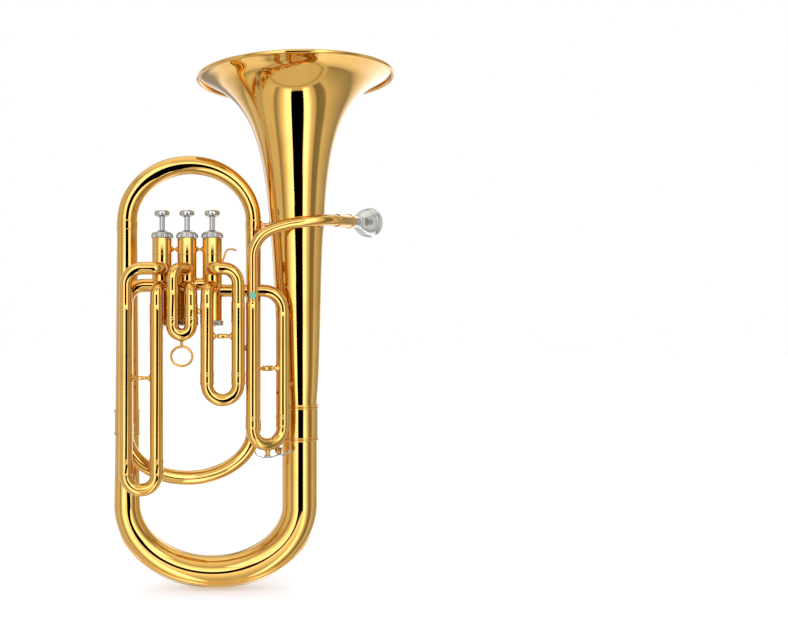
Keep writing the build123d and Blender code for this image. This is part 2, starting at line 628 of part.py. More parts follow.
CORK_TOP = NIPPLE_LOW - 0.05
CORK_T = 1.7
with BuildPart() as water_key_lever:
    with BuildLine(KEY_PLANE) as path:
        Spline((-15.5, 166.0 - TUNING_BOW_Z), (-13.5, 161.5 - TUNING_BOW_Z), (-7, 158.9 - TUNING_BOW_Z),
               (0, 157.9 - TUNING_BOW_Z), (7.5, 158.6 - TUNING_BOW_Z), (PIVOT_U, 160.2 - TUNING_BOW_Z),
               (21, 159.6 - TUNING_BOW_Z), (29.5, 164.4 - TUNING_BOW_Z))
    with BuildSketch(Plane(origin=path.line @ 0, z_dir=path.line % 0, x_dir=KEY_ACROSS)):
        Rectangle(3.4, LEVER_T)
    sweep()
    with Locations(Plane(origin=key_point(PIVOT_U, PIVOT_Z), z_dir=KEY_ACROSS)):
        Cylinder(2.5, 4.4)
        Cylinder(PIN_R + FIT, 6, mode=Mode.SUBTRACT)
    with Locations(key_point(0, CORK_TOP - CORK_T - 1.0)):
        Cylinder(4.0, 1.0, align=BASE)
save(water_key_lever, "water_key_lever")

with BuildPart() as water_key_cork:
    with Locations(key_point(0, CORK_TOP - CORK_T)):
        Cylinder(3.7, CORK_T, align=BASE)
save(water_key_cork, "water_key_cork")

# ---------------------------------------------------------------- leadpipe, receiver, mouthpiece
RECEIVER_PLANE = Plane(origin=RECEIVER_AT, z_dir=RECEIVER_DIR)
LEAD_IN = 10.0
with BuildPart() as leadpipe:
    with BuildLine() as path:
        foot = Line((*TUNING_A, TUNING_TOP[0] - SOCKET), (*TUNING_A, 383))
        curve = Spline(foot @ 1, (4.3, -50, 400.5), (15.4, -49.2, 410.6), (37.7, -46.6, 418.4),
                       (62.4, -43, 422.3), (79.7, -37, 424.0), RECEIVER_AT,
                       tangents=[(0, 0, 1), RECEIVER_DIR])
        Line(curve @ 1, RECEIVER_PLANE.origin + RECEIVER_PLANE.z_dir * LEAD_IN)
    with BuildSketch(Plane(origin=foot @ 0, z_dir=(0, 0, 1))):
        Circle(LEADPIPE_R)
        Circle(LEADPIPE_R - 0.5, mode=Mode.SUBTRACT)
    sweep()
    with Locations((*TUNING_A, TUNING_TOP[0] - SOCKET)):
        Cylinder(INNER_R, SOCKET + 1.5, align=BASE)
        Cylinder(LEADPIPE_R - 0.5, SOCKET + 1.5, align=BASE, mode=Mode.SUBTRACT)
save(leadpipe, "leadpipe")

RECEIVER_R = 7.45
SHANK_L = 22.0
TAPER = (6.2, 6.6)
with BuildPart() as mouthpiece_receiver:
    with Locations(RECEIVER_PLANE):
        Cylinder(RECEIVER_R, RECEIVER_L, align=BASE)
        Cylinder(LEADPIPE_R, LEAD_IN, align=BASE, mode=Mode.SUBTRACT)
        Cylinder(LEADPIPE_R - 0.5, RECEIVER_L, align=BASE, mode=Mode.SUBTRACT)
    with Locations(RECEIVER_PLANE.offset(RECEIVER_L - 4)):
        Cylinder(RECEIVER_R + 0.9, 4, align=BASE)
    with Locations(RECEIVER_PLANE.offset(RECEIVER_L - SHANK_L - 2)):
        Cone(TAPER[0], TAPER[1], SHANK_L + 2, align=BASE, mode=Mode.SUBTRACT)
save(mouthpiece_receiver, "mouthpiece_receiver")

SHANK_GAP = 0.06
MOUTH_PLANE = Plane(origin=RECEIVER_PLANE.origin + RECEIVER_PLANE.z_dir * RECEIVER_L,
                    x_dir=RECEIVER_PLANE.x_dir, z_dir=-RECEIVER_PLANE.y_dir)
MOUTH_AXIS = Axis(MOUTH_PLANE.origin, RECEIVER_PLANE.z_dir)
with BuildPart() as mouthpiece:
    with BuildSketch(MOUTH_PLANE):
        with BuildLine():
            Line((TAPER[0] - SHANK_GAP, -SHANK_L), (TAPER[1] - SHANK_GAP, 0.2))
            body = Spline((TAPER[1] - SHANK_GAP, 0.2), (6.9, 9), (7.7, 18), (11.2, 26), (15.2, 36),
                          (16.4, 44), (18.0, 49.5), tangents=[(0.02, 1), (0.3, 1)])
            rim = ThreePointArc(body @ 1, (15.6, 51.8), (12.8, 49.0))
            cup = Spline(rim @ 1, (12.2, 44), (10.6, 37), (6.6, 30), (3.2, 26),
                         tangents=[(0, -1), (-0.5, -1)])
            Line(cup @ 1, (4.8, -SHANK_L))
            Line((4.8, -SHANK_L), (TAPER[0] - SHANK_GAP, -SHANK_L))
        make_face()
    revolve(axis=MOUTH_AXIS)
save(mouthpiece, "mouthpiece")


# ---------------------------------------------------------------- braces, stays, hook, marker
def stay_between(a, b, z, rod_r, foot_r):
    """Rod with a cone foot at each end, run between two upright axes."""
    start = Vector(a[0], a[1], z)
    way = Vector(b[0], b[1], z) - start
    with BuildPart() as rod:
        with Locations(Plane(origin=start, z_dir=way)):
            Cylinder(rod_r, way.length, align=BASE)
        for end, heading, radius in ((start, way, a[2]), (start + way, way * -1, b[2])):
            with Locations(Plane(origin=end + heading.normalized() * (radius - 1.2), z_dir=heading)):
                Cylinder(foot_r, 2.4, align=BASE)
            with Locations(Plane(origin=end + heading.normalized() * (radius + 1.2), z_dir=heading)):
                Cone(foot_r, rod_r, 2.6, align=BASE)
        with Locations((a[0], a[1], z)):
            Cylinder(a[2], 60, mode=Mode.SUBTRACT)
        with Locations((b[0], b[1], z)):
            Cylinder(b[2], 60, mode=Mode.SUBTRACT)
    return rod.part


with BuildPart() as slide_braces:
    for name, z, rod_r in (("first", 293.9, 2.6), ("third", 247.7, 2.2), ("tuning", 257.7, 2.8)):
        legs = SLIDES[name][0]
        add(stay_between((*legs[0], OUTER_R), (*legs[1], OUTER_R), z, rod_r, 4.6))
save(slide_braces, "slide_braces")

FIRST_RIGHT = (FIRST_X[1], SLIDE_Y, OUTER_R)
with BuildPart() as small_stays:
    add(stay_between(FIRST_RIGHT, (*TUNING_A, OUTER_R), 280.8, 1.6, 3.2))
    add(stay_between((SECOND_X[1], SLIDE_Y, OUTER_R), (FIRST_X[0], SLIDE_Y, OUTER_R), 321.2, 1.6, 3.0))
    add(stay_between((THIRD_X[0], SLIDE_Y, OUTER_R), (EXIT_X, VALVE_Y, EXIT_R), 300.0, 2.0, 4.2))
    add(stay_between((EXIT_X, VALVE_Y, EXIT_R), (BOW_LEFT_X, 0, 13.0), 280.0, 2.2, 4.6))
    add(stay_between((*TUNING_B, OUTER_R), (BELL_FOOT[0] - 0.6, 0, 22.8), 238.5, 2.2, 4.6))
    add(stay_between((*TUNING_A, OUTER_R), (MIDDLE_X, 0, MIDDLE_R), 225.0, 2.2, 4.6))
    add(bell.part, mode=Mode.SUBTRACT)
    add(left_branch.part, mode=Mode.SUBTRACT)
    add(middle_branch.part, mode=Mode.SUBTRACT)
save(small_stays, "small_stays")

BELL_BRACE_Z = 431.3
with BuildPart() as bell_brace:
    with Locations(Plane(origin=(MIDDLE_X, 0, BELL_BRACE_Z - 9), z_dir=(1, 0, 0))):
        Cylinder(2.3, 30, align=BASE)
    with Locations(Plane(origin=(MIDDLE_X + 8, 0, BELL_BRACE_Z - 9), z_dir=(1, 0, 0))):
        Cylinder(4.8, 2.6, align=BASE)
    with Locations(Plane(origin=(MIDDLE_X + 15.2, 0, BELL_BRACE_Z - 9), z_dir=(1, 0, 0))):
        Cylinder(5.6, 3.6, align=BASE)
    add(bell.part, mode=Mode.SUBTRACT)
    with Locations((MIDDLE_X, 0, BELL_BRACE_Z - 30)):
        Cylinder(TOP_BOW_RADII[2] + 2.1, 40, align=BASE, mode=Mode.SUBTRACT)
save(bell_brace, "bell_brace")

HOOK_R = 1.1
with BuildPart() as finger_hook:
    with BuildLine() as path:
        Spline((VALVE_X[0] + 10.8, -36, 374), (VALVE_X[0] + 13.6, -37, 383), (-30.5, -38, 390),
               (-25.5, -38.5, 391.3), (-19.9, -38.5, 389.5))
    with BuildSketch(Plane(origin=path.line @ 0, z_dir=path.line % 0)):
        Circle(HOOK_R)
    sweep()
    with Locations(Plane(origin=(VALVE_X[0] + 10.2, -36, 375), z_dir=(1, -0.25, 0))):
        Cylinder(2.4, 2.2, align=BASE)
    add(casing_envelope(VALVE_X[0]), mode=Mode.SUBTRACT)
save(finger_hook, "finger_hook")

DOT_Z = 339.0
with BuildPart() as inspection_dot:
    with Locations(Plane(origin=(*TUNING_A, DOT_Z), z_dir=(0, -1, 0))):
        Cylinder(4.0, LEADPIPE_R + 0.5, align=BASE)
    with Locations((*TUNING_A, DOT_Z)):
        Cylinder(LEADPIPE_R, 20, mode=Mode.SUBTRACT)
save(inspection_dot, "inspection_dot")
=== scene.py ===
import math

import bpy
from mathutils import Matrix, Vector


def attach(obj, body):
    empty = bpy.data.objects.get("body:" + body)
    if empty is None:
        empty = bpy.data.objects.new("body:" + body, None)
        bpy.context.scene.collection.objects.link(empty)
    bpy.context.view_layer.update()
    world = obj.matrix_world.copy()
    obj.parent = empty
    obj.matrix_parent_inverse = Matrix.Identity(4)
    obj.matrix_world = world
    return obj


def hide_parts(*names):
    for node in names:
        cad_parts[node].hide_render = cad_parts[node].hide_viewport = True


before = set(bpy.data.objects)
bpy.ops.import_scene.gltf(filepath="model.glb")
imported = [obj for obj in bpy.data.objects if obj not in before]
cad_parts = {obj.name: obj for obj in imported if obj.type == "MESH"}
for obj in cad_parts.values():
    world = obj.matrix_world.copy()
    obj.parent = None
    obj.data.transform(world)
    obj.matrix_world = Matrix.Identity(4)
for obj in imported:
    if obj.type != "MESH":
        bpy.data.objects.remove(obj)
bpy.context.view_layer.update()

# Lengths below are in millimetres in the CAD frame, and become metres when a mesh is made.
MM = 0.001
RING = 72

BORE_R = 6.7
INNER_R = 7.1
OUTER_R = 7.55
FERRULE_R = 8.15
SLIDE_Y = -54.0
VALVE_Y = -33.0
VALVE_X = (-47.3, -75.6, -103.7)
CASING_R = 11.2
UPPER_PORT_Z = 369.0
LOWER_PORT_Z = 348.5
LINK_Z = 352.0
ENTRY_Z = 344.7
EXIT_Z = 350.7
EXIT_X = -143.9
BOW_LEFT_X = -147.6
BELL_FOOT = Vector((53.0, 0.0, 193.0))
BELL_TOP = Vector((47.8, 0.0, 594.6))
MIDDLE_X = -1.0
TUNING_A = (-1.9, -50.0)
TUNING_B = (32.1, -33.0)
SOCKET = 6.0
WALL = 0.8
SEAT_R = 10.9                   # tubes meet a casing just inside its skin
LEFT_JOINT_Z, LEFT_JOINT_R = 192.8, 14.1
LEFT_TAPER_Z = 177.7            # below this the left leg widens towards the bow
INNER_BOW_Z = 183.0
BOW_STEPS = 96


# ------------------------------------------------------------------ mesh making
class Shape:
    """Collects closed surfaces in millimetres and turns them into one object."""

    def __init__(self):
        self.verts = []
        self.faces = []

    def add(self, verts, faces):
        base = len(self.verts)
        self.verts.extend(verts)
        self.faces.extend([base + i for i in face] for face in flip_if_inside_out(verts, faces))

    def build(self, name, material, body, replaced, sharp=38.0):
        """Make the object that stands in for a CAD node.  Its slot is named after its material."""
        mesh = bpy.data.meshes.new(name)
        mesh.from_pydata([Vector(v) * MM for v in self.verts], [], self.faces)
        mesh.validate()
        mesh.update()
        for polygon in mesh.polygons:
            polygon.use_smooth = True
        mesh.set_sharp_from_angle(angle=math.radians(sharp))
        mesh.materials.append(material)
        obj = bpy.data.objects.new(name, mesh)
        bpy.context.scene.collection.objects.link(obj)
        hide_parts(replaced)
        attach(obj, body)


def frames(points):
    """Tangent and two normals at each point, carried along without twist."""
    count = len(points)
    tangents = []
    for i in range(count):
        a = points[max(i - 1, 0)]
        b = points[min(i + 1, count - 1)]
        tangents.append((b - a).normalized())
    first = tangents[0]
    guide = Vector((0, 1, 0)) if abs(first.y) < 0.9 else Vector((1, 0, 0))
    side = (guide - first * guide.dot(first)).normalized()
    result = []
    for i, tangent in enumerate(tangents):
        if i:
            turn = tangents[i - 1].rotation_difference(tangent)
            side = (turn @ side)
            side = (side - tangent * side.dot(tangent)).normalized()
        result.append((tangent, side, tangent.cross(side)))
    return result


def lengths(points):
    """Distance along the path at each point, from 0 to 1."""
    total = [0.0]
    for a, b in zip(points, points[1:]):
        total.append(total[-1] + (b - a).length)
    return [t / total[-1] for t in total]


def ring_faces(rows, ring, closed_rows=False):
    """Quads between successive rings of vertices."""
    faces = []
    last = rows if closed_rows else rows - 1
    for i in range(last):
        j = (i + 1) % rows
        for k in range(ring):
            n = (k + 1) % ring
            faces.append((i * ring + k, i * ring + n, j * ring + n, j * ring + k))
    return faces


def turn_angles(count):
    """Equal steps round a full turn."""
    return [math.tau * k / count for k in range(count)]


def capped(rows, ring):
    """Faces of a solid bar of rings, with a flat face at each end."""
    return ring_faces(rows, ring) + [tuple(reversed(range(ring))),
                                     tuple(range((rows - 1) * ring, rows * ring))]


def sweep(shape, points, outer, inner=None, ring=RING, saddles=(None, None)):
    """Tube along points.  outer and inner are radii or functions of the way along."""
    points = [Vector(p) for p in points]
    ways = lengths(points)
    axes = frames(points)
    rows = []
    for skin in [outer] if inner is None else [outer, inner]:
        skin_rows = []
        for point, way, (_, side, up) in zip(points, ways, axes):
            radius = skin(way) if callable(skin) else skin
            skin_rows.append([point + side * (radius * math.cos(a)) + up * (radius * math.sin(a))
                              for a in turn_angles(ring)])
        for end, saddle in ((0, saddles[0]), (-1, saddles[1])):
            if saddle:
                heading = axes[end][0] * (-1 if end == 0 else 1)
                skin_rows[end] = [meet_cylinder(p, heading, saddle) for p in skin_rows[end]]
        rows.append(skin_rows)
    loop = rows[0] if inner is None else rows[0] + rows[1][::-1]
    verts = [v for row in loop for v in row]
    faces = capped(len(loop), ring) if inner is None else ring_faces(len(loop), ring, closed_rows=True)
    shape.add(verts, faces)


def meet_cylinder(p, heading, saddle):
    """Slide p along heading until it lies on an upright cylinder (x, y, radius)."""
    cx, cy, radius = saddle
    away = Vector((p.x - cx, p.y - cy, 0))
    flat = Vector((heading.x, heading.y, 0))
    a = flat.dot(flat)
    b = 2 * away.dot(flat)
    c = away.dot(away) - radius * radius
    root = b * b - 4 * a * c
    if a < 1e-9 or root < 0:
        return p
    options = [(-b - math.sqrt(root)) / (2 * a), (-b + math.sqrt(root)) / (2 * a)]
    return p + heading * min(options, key=abs)


def volume_of(verts, faces):
    total = 0.0
    for face in faces:
        a = Vector(verts[face[0]])
        for i in range(1, len(face) - 1):
            total += a.dot(Vector(verts[face[i]]).cross(Vector(verts[face[i + 1]])))
    return total


def flip_if_inside_out(verts, faces):
    if volume_of(verts, faces) < 0:
        return [tuple(reversed(face)) for face in faces]
    return faces


def basis(axis):
    """Matrix whose Z column is the axis."""
    z = Vector(axis).normalized()
    hint = Vector((1, 0, 0)) if abs(z.y) > 0.95 else Vector((0, 1, 0))
    x = hint.cross(z).normalized()
    return Matrix((x, z.cross(x), z)).transposed()


def grid_shell(shape, front, back):
    """Closed sheet between two grids of points of the same size."""
    count = len(front[0])
    last = len(front) - 1
    half = len(front) * count
    verts = [p for row in front + back for p in row]
    faces = []
    for i in range(last):
        for k in range(count - 1):
            a = i * count + k
            quad = (a, a + 1, a + count + 1, a + count)
            faces += [quad, tuple(half + n for n in reversed(quad))]
        for a, turn in ((i * count, False), (i * count + count - 1, True)):
            quad = (a, a + count, half + a + count, half + a)
            faces.append(tuple(reversed(quad)) if turn else quad)
    for i, turn in ((0, True), (last, False)):
        for a in range(i * count, i * count + count - 1):
            quad = (a, a + 1, half + a + 1, half + a)
            faces.append(tuple(reversed(quad)) if turn else quad)
    shape.add(verts, faces)


def lathe(shape, profile, origin, axis=(0, 0, 1), ring=RING, knurl=None):
    """Turned piece from a closed loop of (radius, height).  Radius 0 becomes a pole.

    knurl is (low, high, count, depth): heights between which the outside is grooved."""
    origin = Vector(origin)
    turn = basis(axis)
    verts, rows = [], []
    for r, h in profile:
        if r < 1e-6:
            rows.append([len(verts)])
            verts.append(origin + turn @ Vector((0, 0, h)))
            continue
        row = []
        for a in turn_angles(ring):
            rr = r
            if knurl and knurl[0] <= h <= knurl[1]:
                rr = r - knurl[3] * (0.5 - 0.5 * math.cos(knurl[2] * a))
            row.append(len(verts))
            verts.append(origin + turn @ Vector((rr * math.cos(a), rr * math.sin(a), h)))
        rows.append(row)
    faces = []
    closed = len(rows[0]) > 1 and len(rows[-1]) > 1
    for i in range(len(rows) if closed else len(rows) - 1):
        a, b = rows[i], rows[(i + 1) % len(rows)]
        for k in range(ring):
            n = (k + 1) % ring
            if len(a) == 1 and len(b) == 1:
                continue
            if len(a) == 1:
                faces.append((a[0], b[n], b[k]))
            elif len(b) == 1:
                faces.append((a[k], a[n], b[0]))
            else:
                faces.append((a[k], a[n], b[n], b[k]))
    shape.add(verts, faces)


def soft_profile(points, radius=0.4, steps=4):
    """Closed profile with its corners rounded.  Points on the axis stay sharp."""
    count = len(points)
    out = []
    for i, point in enumerate(points):
        p = Vector(point)
        a = Vector(points[i - 1])
        b = Vector(points[(i + 1) % count])
        if p.x < 1e-6:
            out.append((p.x, p.y))
            continue
        back, ahead = (a - p), (b - p)
        cut = min(radius, back.length * 0.45, ahead.length * 0.45)
        if cut < 0.02:
            out.append((p.x, p.y))
            continue
        s, e = p + back.normalized() * cut, p + ahead.normalized() * cut
        for k in range(steps + 1):
            t = k / steps
            q = s * (1 - t) ** 2 + p * (2 * t * (1 - t)) + e * t * t
            out.append((q.x, q.y))
    return out


def bent(points, radii, step=6.0):
    """Points along straight runs joined by round bends."""
    points = [Vector(p) for p in points]
    if not hasattr(radii, "__len__"):
        radii = [radii] * (len(points) - 2)
    path = [points[0]]
    for i in range(1, len(points) - 1):
        p = points[i]
        back = (points[i - 1] - p).normalized()
        ahead = (points[i + 1] - p).normalized()
        inside = back.angle(ahead)
        reach = radii[i - 1] / math.tan(inside / 2)
        middle = p + (back + ahead).normalized() * (radii[i - 1] / math.sin(inside / 2))
        start = p + back * reach
        normal = back.cross(ahead).normalized()
        sweep_angle = math.pi - inside
        count = max(8, int(math.degrees(sweep_angle) / step))
        arm = start - middle
        for k in range(count + 1):
            turned = Matrix.Rotation(-sweep_angle * k / count, 3, normal) @ arm
            path.append(middle + turned)
    path.append(points[-1])
    return [p for i, p in enumerate(path) if i == 0 or (p - path[i - 1]).length > 1e-4]


def half_ellipse(a, b, z, depth, count=72):
    """Half ellipse from leg a to leg b, hanging by depth, or rising if depth is negative."""
    a, b = Vector((a[0], a[1], z)), Vector((b[0], b[1], z))
    middle = (a + b) / 2
    arm = (a - b) / 2
    return [middle + arm * math.cos(math.pi * k / count)
            - Vector((0, 0, depth * math.sin(math.pi * k / count))) for k in range(count + 1)]


def smooth_curve(points, start, end, per=14):
    """Smooth curve through points with given end directions."""
    pts = [Vector(p) for p in points]
    slopes = []
    for i, p in enumerate(pts):
        if i == 0:
            slopes.append(Vector(start).normalized() * (pts[1] - p).length)
        elif i == len(pts) - 1:
            slopes.append(Vector(end).normalized() * (p - pts[i - 1]).length)
        else:
            back, ahead = (p - pts[i - 1]).length, (pts[i + 1] - p).length
            slopes.append((pts[i + 1] - pts[i - 1]) / (back + ahead))
    out = []
    for i in range(len(pts) - 1):
        gap = (pts[i + 1] - pts[i]).length
        m0 = slopes[i] if i == 0 else slopes[i] * gap
        m1 = slopes[i + 1] if i + 1 == len(pts) - 1 else slopes[i + 1] * gap
        for k in range(per):
            t = k / per
            out.append(pts[i] * (2 * t ** 3 - 3 * t ** 2 + 1) + m0 * (t ** 3 - 2 * t ** 2 + t)
                       + pts[i + 1] * (-2 * t ** 3 + 3 * t ** 2) + m1 * (t ** 3 - t ** 2))
    out.append(pts[-1])
    return out


def blend_radii(values):
    """Radius as a smooth function of the way along, through equally spaced values."""
    def radius(t):
        if len(values) == 3:
            a, m, b = values
            return a * (1 - t) * (1 - 2 * t) + 4 * m * t * (1 - t) + b * t * (2 * t - 1)
        a, b = values
        return a + (b - a) * t
    return radius


# ------------------------------------------------------------------ materials
def node(tree, kind, **values):
    made = tree.nodes.new(kind)
    for key, value in values.items():
        setattr(made, key, value)
    return made


def put(target, values):
    """Set constants on the sockets of a node."""
    for name, value in values.items():
        target.inputs[name].default_value = value


def noise(tree, coords, scale, detail=4.0, rough=0.55):
    made = node(tree, "ShaderNodeTexNoise")
    put(made, {"Scale": scale, "Detail": detail, "Roughness": rough})
    tree.links.new(coords, made.inputs["Vector"])
    return made.outputs["Fac"]


def ramp(tree, fac, stops):
    made = node(tree, "ShaderNodeValToRGB")
    elements = made.color_ramp.elements
    while len(elements) < len(stops):
        elements.new(0.5)
    for element, (at, color) in zip(elements, stops):
        element.position = at
        element.color = (*color, 1.0) if len(color) == 3 else color
    tree.links.new(fac, made.inputs["Fac"])
    return made.outputs["Color"]


def spread(tree, fac, low, high, from_low=0.3, from_high=0.7):
    made = node(tree, "ShaderNodeMapRange")
    put(made, {"From Min": from_low, "From Max": from_high, "To Min": low, "To Max": high})
    tree.links.new(fac, made.inputs["Value"])
    return made.outputs["Result"]


def relief(tree, shader, height, strength, distance):
    made = node(tree, "ShaderNodeBump")
    put(made, {"Strength": strength, "Distance": distance})
    tree.links.new(height, made.inputs["Height"])
    tree.links.new(made.outputs["Normal"], shader.inputs["Normal"])


def new_material(name):
    """Material with its tree, its shader and the object's own coordinates."""
    made = bpy.data.materials.new(name)
    made.use_nodes = True
    tree = made.node_tree
    coords = node(tree, "ShaderNodeTexCoord").outputs["Object"]
    return made, tree, tree.nodes["Principled BSDF"], coords


def metal(name, tones, rough, coat=0.0, bump=0.02, grain=900.0):
    """Metal with a slow change of tone, fine polishing marks and a faint unevenness."""
    made, tree, shader, coords = new_material(name)
    link = tree.links.new
    cloud = noise(tree, coords, 22.0, 5.0, 0.6)
    link(ramp(tree, cloud, [(0.35, tones[0]), (0.5, tones[1]), (0.66, tones[2])]),
         shader.inputs["Base Color"])
    fine = noise(tree, coords, grain, 3.0, 0.6)
    smear = noise(tree, coords, 60.0, 6.0, 0.65)
    both = node(tree, "ShaderNodeMath", operation="MULTIPLY")
    link(fine, both.inputs[0])
    link(smear, both.inputs[1])
    link(spread(tree, both.outputs[0], rough[0], rough[1], 0.12, 0.42),
         shader.inputs["Roughness"])
    put(shader, {"Metallic": 1.0, "Coat Weight": coat, "Coat Roughness": 0.03, "Coat IOR": 1.5})
    wave = noise(tree, coords, 14.0, 2.0, 0.5)
    blend = node(tree, "ShaderNodeMath", operation="MULTIPLY_ADD")
    link(fine, blend.inputs[0])
    blend.inputs[1].default_value = 0.02
    link(wave, blend.inputs[2])
    relief(tree, shader, blend.outputs[0], bump, 0.004)
    return made


BRASS = metal("lacquered_brass", ((0.66, 0.360, 0.062), (0.69, 0.388, 0.070), (0.72, 0.415, 0.080)),
              (0.03, 0.075), coat=0.7, bump=0.008)
NICKEL = metal("nickel_silver", ((0.42, 0.41, 0.37), (0.48, 0.47, 0.43), (0.54, 0.53, 0.49)),
               (0.06, 0.13), bump=0.02)
SILVER = metal("silver_plate", ((0.54, 0.53, 0.49), (0.60, 0.59, 0.55), (0.66, 0.65, 0.61)),
               (0.05, 0.11), bump=0.02)
CUPRO = metal("cupronickel", ((0.56, 0.54, 0.50), (0.62, 0.60, 0.56), (0.66, 0.645, 0.60)),
              (0.16, 0.28), bump=0.02, grain=1400.0)
STEEL = metal("spring_steel", ((0.30, 0.29, 0.28), (0.38, 0.37, 0.36), (0.44, 0.43, 0.42)),
              (0.2, 0.35), bump=0.02)


def cork_material():
    made, tree, shader, coords = new_material("cork")
    cells = node(tree, "ShaderNodeTexVoronoi")
    put(cells, {"Scale": 1700.0})
    tree.links.new(coords, cells.inputs["Vector"])
    tree.links.new(ramp(tree, cells.outputs["Distance"],
                        [(0.0, (0.16, 0.08, 0.035)), (0.25, (0.45, 0.27, 0.13)),
                         (0.8, (0.62, 0.42, 0.22))]),
                   shader.inputs["Base Color"])
    put(shader, {"Roughness": 0.85})
    relief(tree, shader, cells.outputs["Distance"], 0.4, 0.0003)
    return made


def marker_material():
    made, tree, shader, coords = new_material("green_marker")
    fleck = noise(tree, coords, 1500.0, 3.0)
    tree.links.new(ramp(tree, fleck, [(0.35, (0.05, 0.33, 0.17)), (0.65, (0.16, 0.52, 0.34))]),
                   shader.inputs["Base Color"])
    put(shader, {"Roughness": 0.3, "Coat Weight": 0.5})
    return made


CORK = cork_material()
GREEN = marker_material()

# ------------------------------------------------------------------ bell
BELL_AXIS = (BELL_TOP - BELL_FOOT).normalized()
BELL_L = (BELL_TOP - BELL_FOOT).length
BELL_R = 115.0
BEAD_R = 2.2
THROAT = [
    (20.8, 0), (20.8, 21), (22.4, 40), (23.7, 60), (25.4, 95), (27.2, 140), (29.8, 198), (33.2, 244),
    (37.6, 286), (44.2, 320), (54.0, 348), (68.5, 371), (87.0, 388), (104.0, 397.4),
    (BELL_R - BEAD_R, BELL_L - 0.6),
]


def profile_curve(points, per=10):
    flat = smooth_curve([(r, 0, z) for r, z in points], (0, 0, 1), (1, 0, 0.28), per)
    return [(p.x, p.z) for p in flat]


bell = Shape()
outside = profile_curve(THROAT)
inside = [(r - WALL, h + WALL * 0.3) for r, h in outside]
inside[0] = (outside[0][0] - WALL, 0)
inside[-1] = (outside[-1][0] - WALL, outside[-1][1])
lathe(bell, outside + inside[::-1], BELL_FOOT, BELL_AXIS, ring=256)
bell.build("bell_body", BRASS, "horn", "bell", sharp=50)

rim = Shape()
bead = [(BELL_R - BEAD_R + BEAD_R * math.cos(a), BELL_L - BEAD_R - 0.3 + BEAD_R * math.sin(a))
        for a in turn_angles(28)]
bead = [(r, min(h, BELL_L - 0.6)) for r, h in bead]
lathe(rim, bead, BELL_FOOT, BELL_AXIS, ring=256)
rim.build("bell_rolled_rim", BRASS, "horn", "bell_rim_wire", sharp=50)


def ferrule(shape, x, y, low, high, r_in, r_out, bead, grooves=True):
    """Joining sleeve: plain middle, with a rolled bead and a fine groove near each end."""
    steps = 8
    profile = [(r_in, low), (r_out - 0.1, low)]

    def half_bead(middle):
        return [(r_out + bead * math.sin(math.pi * k / steps),
                 middle - bead * math.cos(math.pi * k / steps)) for k in range(steps + 1)]
    profile += half_bead(low + bead + 0.5)
    if grooves:
        profile += half_bead(low + 3 * bead + 0.9)
        profile += [(r_out, low + 6 * bead), (r_out, high - 6 * bead)]
        profile += half_bead(high - 3 * bead - 0.9)
    profile += half_bead(high - bead - 0.5)
    profile += [(r_out - 0.1, high), (r_in, high)]
    lathe(shape, profile, (x, y, 0), ring=96)


collar = Shape()
ferrule(collar, 53.0, 0, 172.0, 214.0, 20.75, 21.65, bead=1.0)
collar.build("bell_joint_ferrule", BRASS, "horn", "bell_ferrule")

# ------------------------------------------------------------------ bottom bow, guard, branches
BOW_Z = 97.4
BOW_DROP = 78.05
BOW_RADII = (15.4, 18.15, 20.7)
BOW_A = (BOW_LEFT_X, 0)
BOW_B = (53.0, 0)


def bow_path():
    left = [Vector((BOW_LEFT_X, 0, z)) for z in (LEFT_JOINT_Z, 185, LEFT_TAPER_Z, 160, 140, 120)]
    right = [Vector((53.0, 0, z)) for z in (120, 145, 170, 193)]
    return left + half_ellipse(BOW_A, BOW_B, BOW_Z, BOW_DROP, BOW_STEPS) + right


BOW_POINTS = bow_path()
BOW_WAYS = lengths(BOW_POINTS)
LEG_POINTS = 6
BOW_START = BOW_WAYS[LEG_POINTS]
BOW_STOP = BOW_WAYS[LEG_POINTS + BOW_STEPS]


def bow_radius(way):
    if way < BOW_START:
        leg = LEFT_JOINT_Z - (LEFT_JOINT_Z - BOW_Z) * way / BOW_START
        if leg > LEFT_TAPER_Z:
            return LEFT_JOINT_R
        wider = BOW_RADII[0] - LEFT_JOINT_R
        return LEFT_JOINT_R + wider * (LEFT_TAPER_Z - leg) / (LEFT_TAPER_Z - BOW_Z)
    if way > BOW_STOP:
        return BOW_RADII[2]
    return blend_radii(BOW_RADII)((way - BOW_START) / (BOW_STOP - BOW_START))


bow = Shape()
sweep(bow, BOW_POINTS, bow_radius, lambda t: bow_radius(t) - WALL, ring=112)
bow.build("bottom_bow_tube", BRASS, "horn", "bottom_bow")

TOP_Z = 426.7
TOP_RADII = (12.0, 10.8, 9.0)


def branch_radius(way):
    """Plain through the joint, then an even taper up to the top bow."""
    if way < 0.06:
        return LEFT_JOINT_R
    return LEFT_JOINT_R + (TOP_RADII[0] - LEFT_JOINT_R) * (way - 0.065) / 0.935


left = Shape()
sweep(left, [(BOW_LEFT_X, 0, z) for z in (LEFT_JOINT_Z, 208.0, 260, 320, 380, TOP_Z)], branch_radius,
      lambda t: branch_radius(t) - WALL, ring=96)
left.build("left_branch_tube", BRASS, "horn", "left_branch")

collar = Shape()
ferrule(collar, BOW_LEFT_X, 0, LEFT_TAPER_Z, 207.9, LEFT_JOINT_R, 14.85, bead=0.8)
collar.build("left_branch_joint", BRASS, "horn", "left_branch_ferrule")

top = Shape()
sweep(top, half_ellipse((BOW_LEFT_X, 0), (MIDDLE_X, 0), TOP_Z, -64.9, BOW_STEPS), blend_radii(TOP_RADII),
      lambda t: blend_radii(TOP_RADII)(t) - WALL, ring=96)
top.build("top_bow_tube", BRASS, "horn", "top_bow")

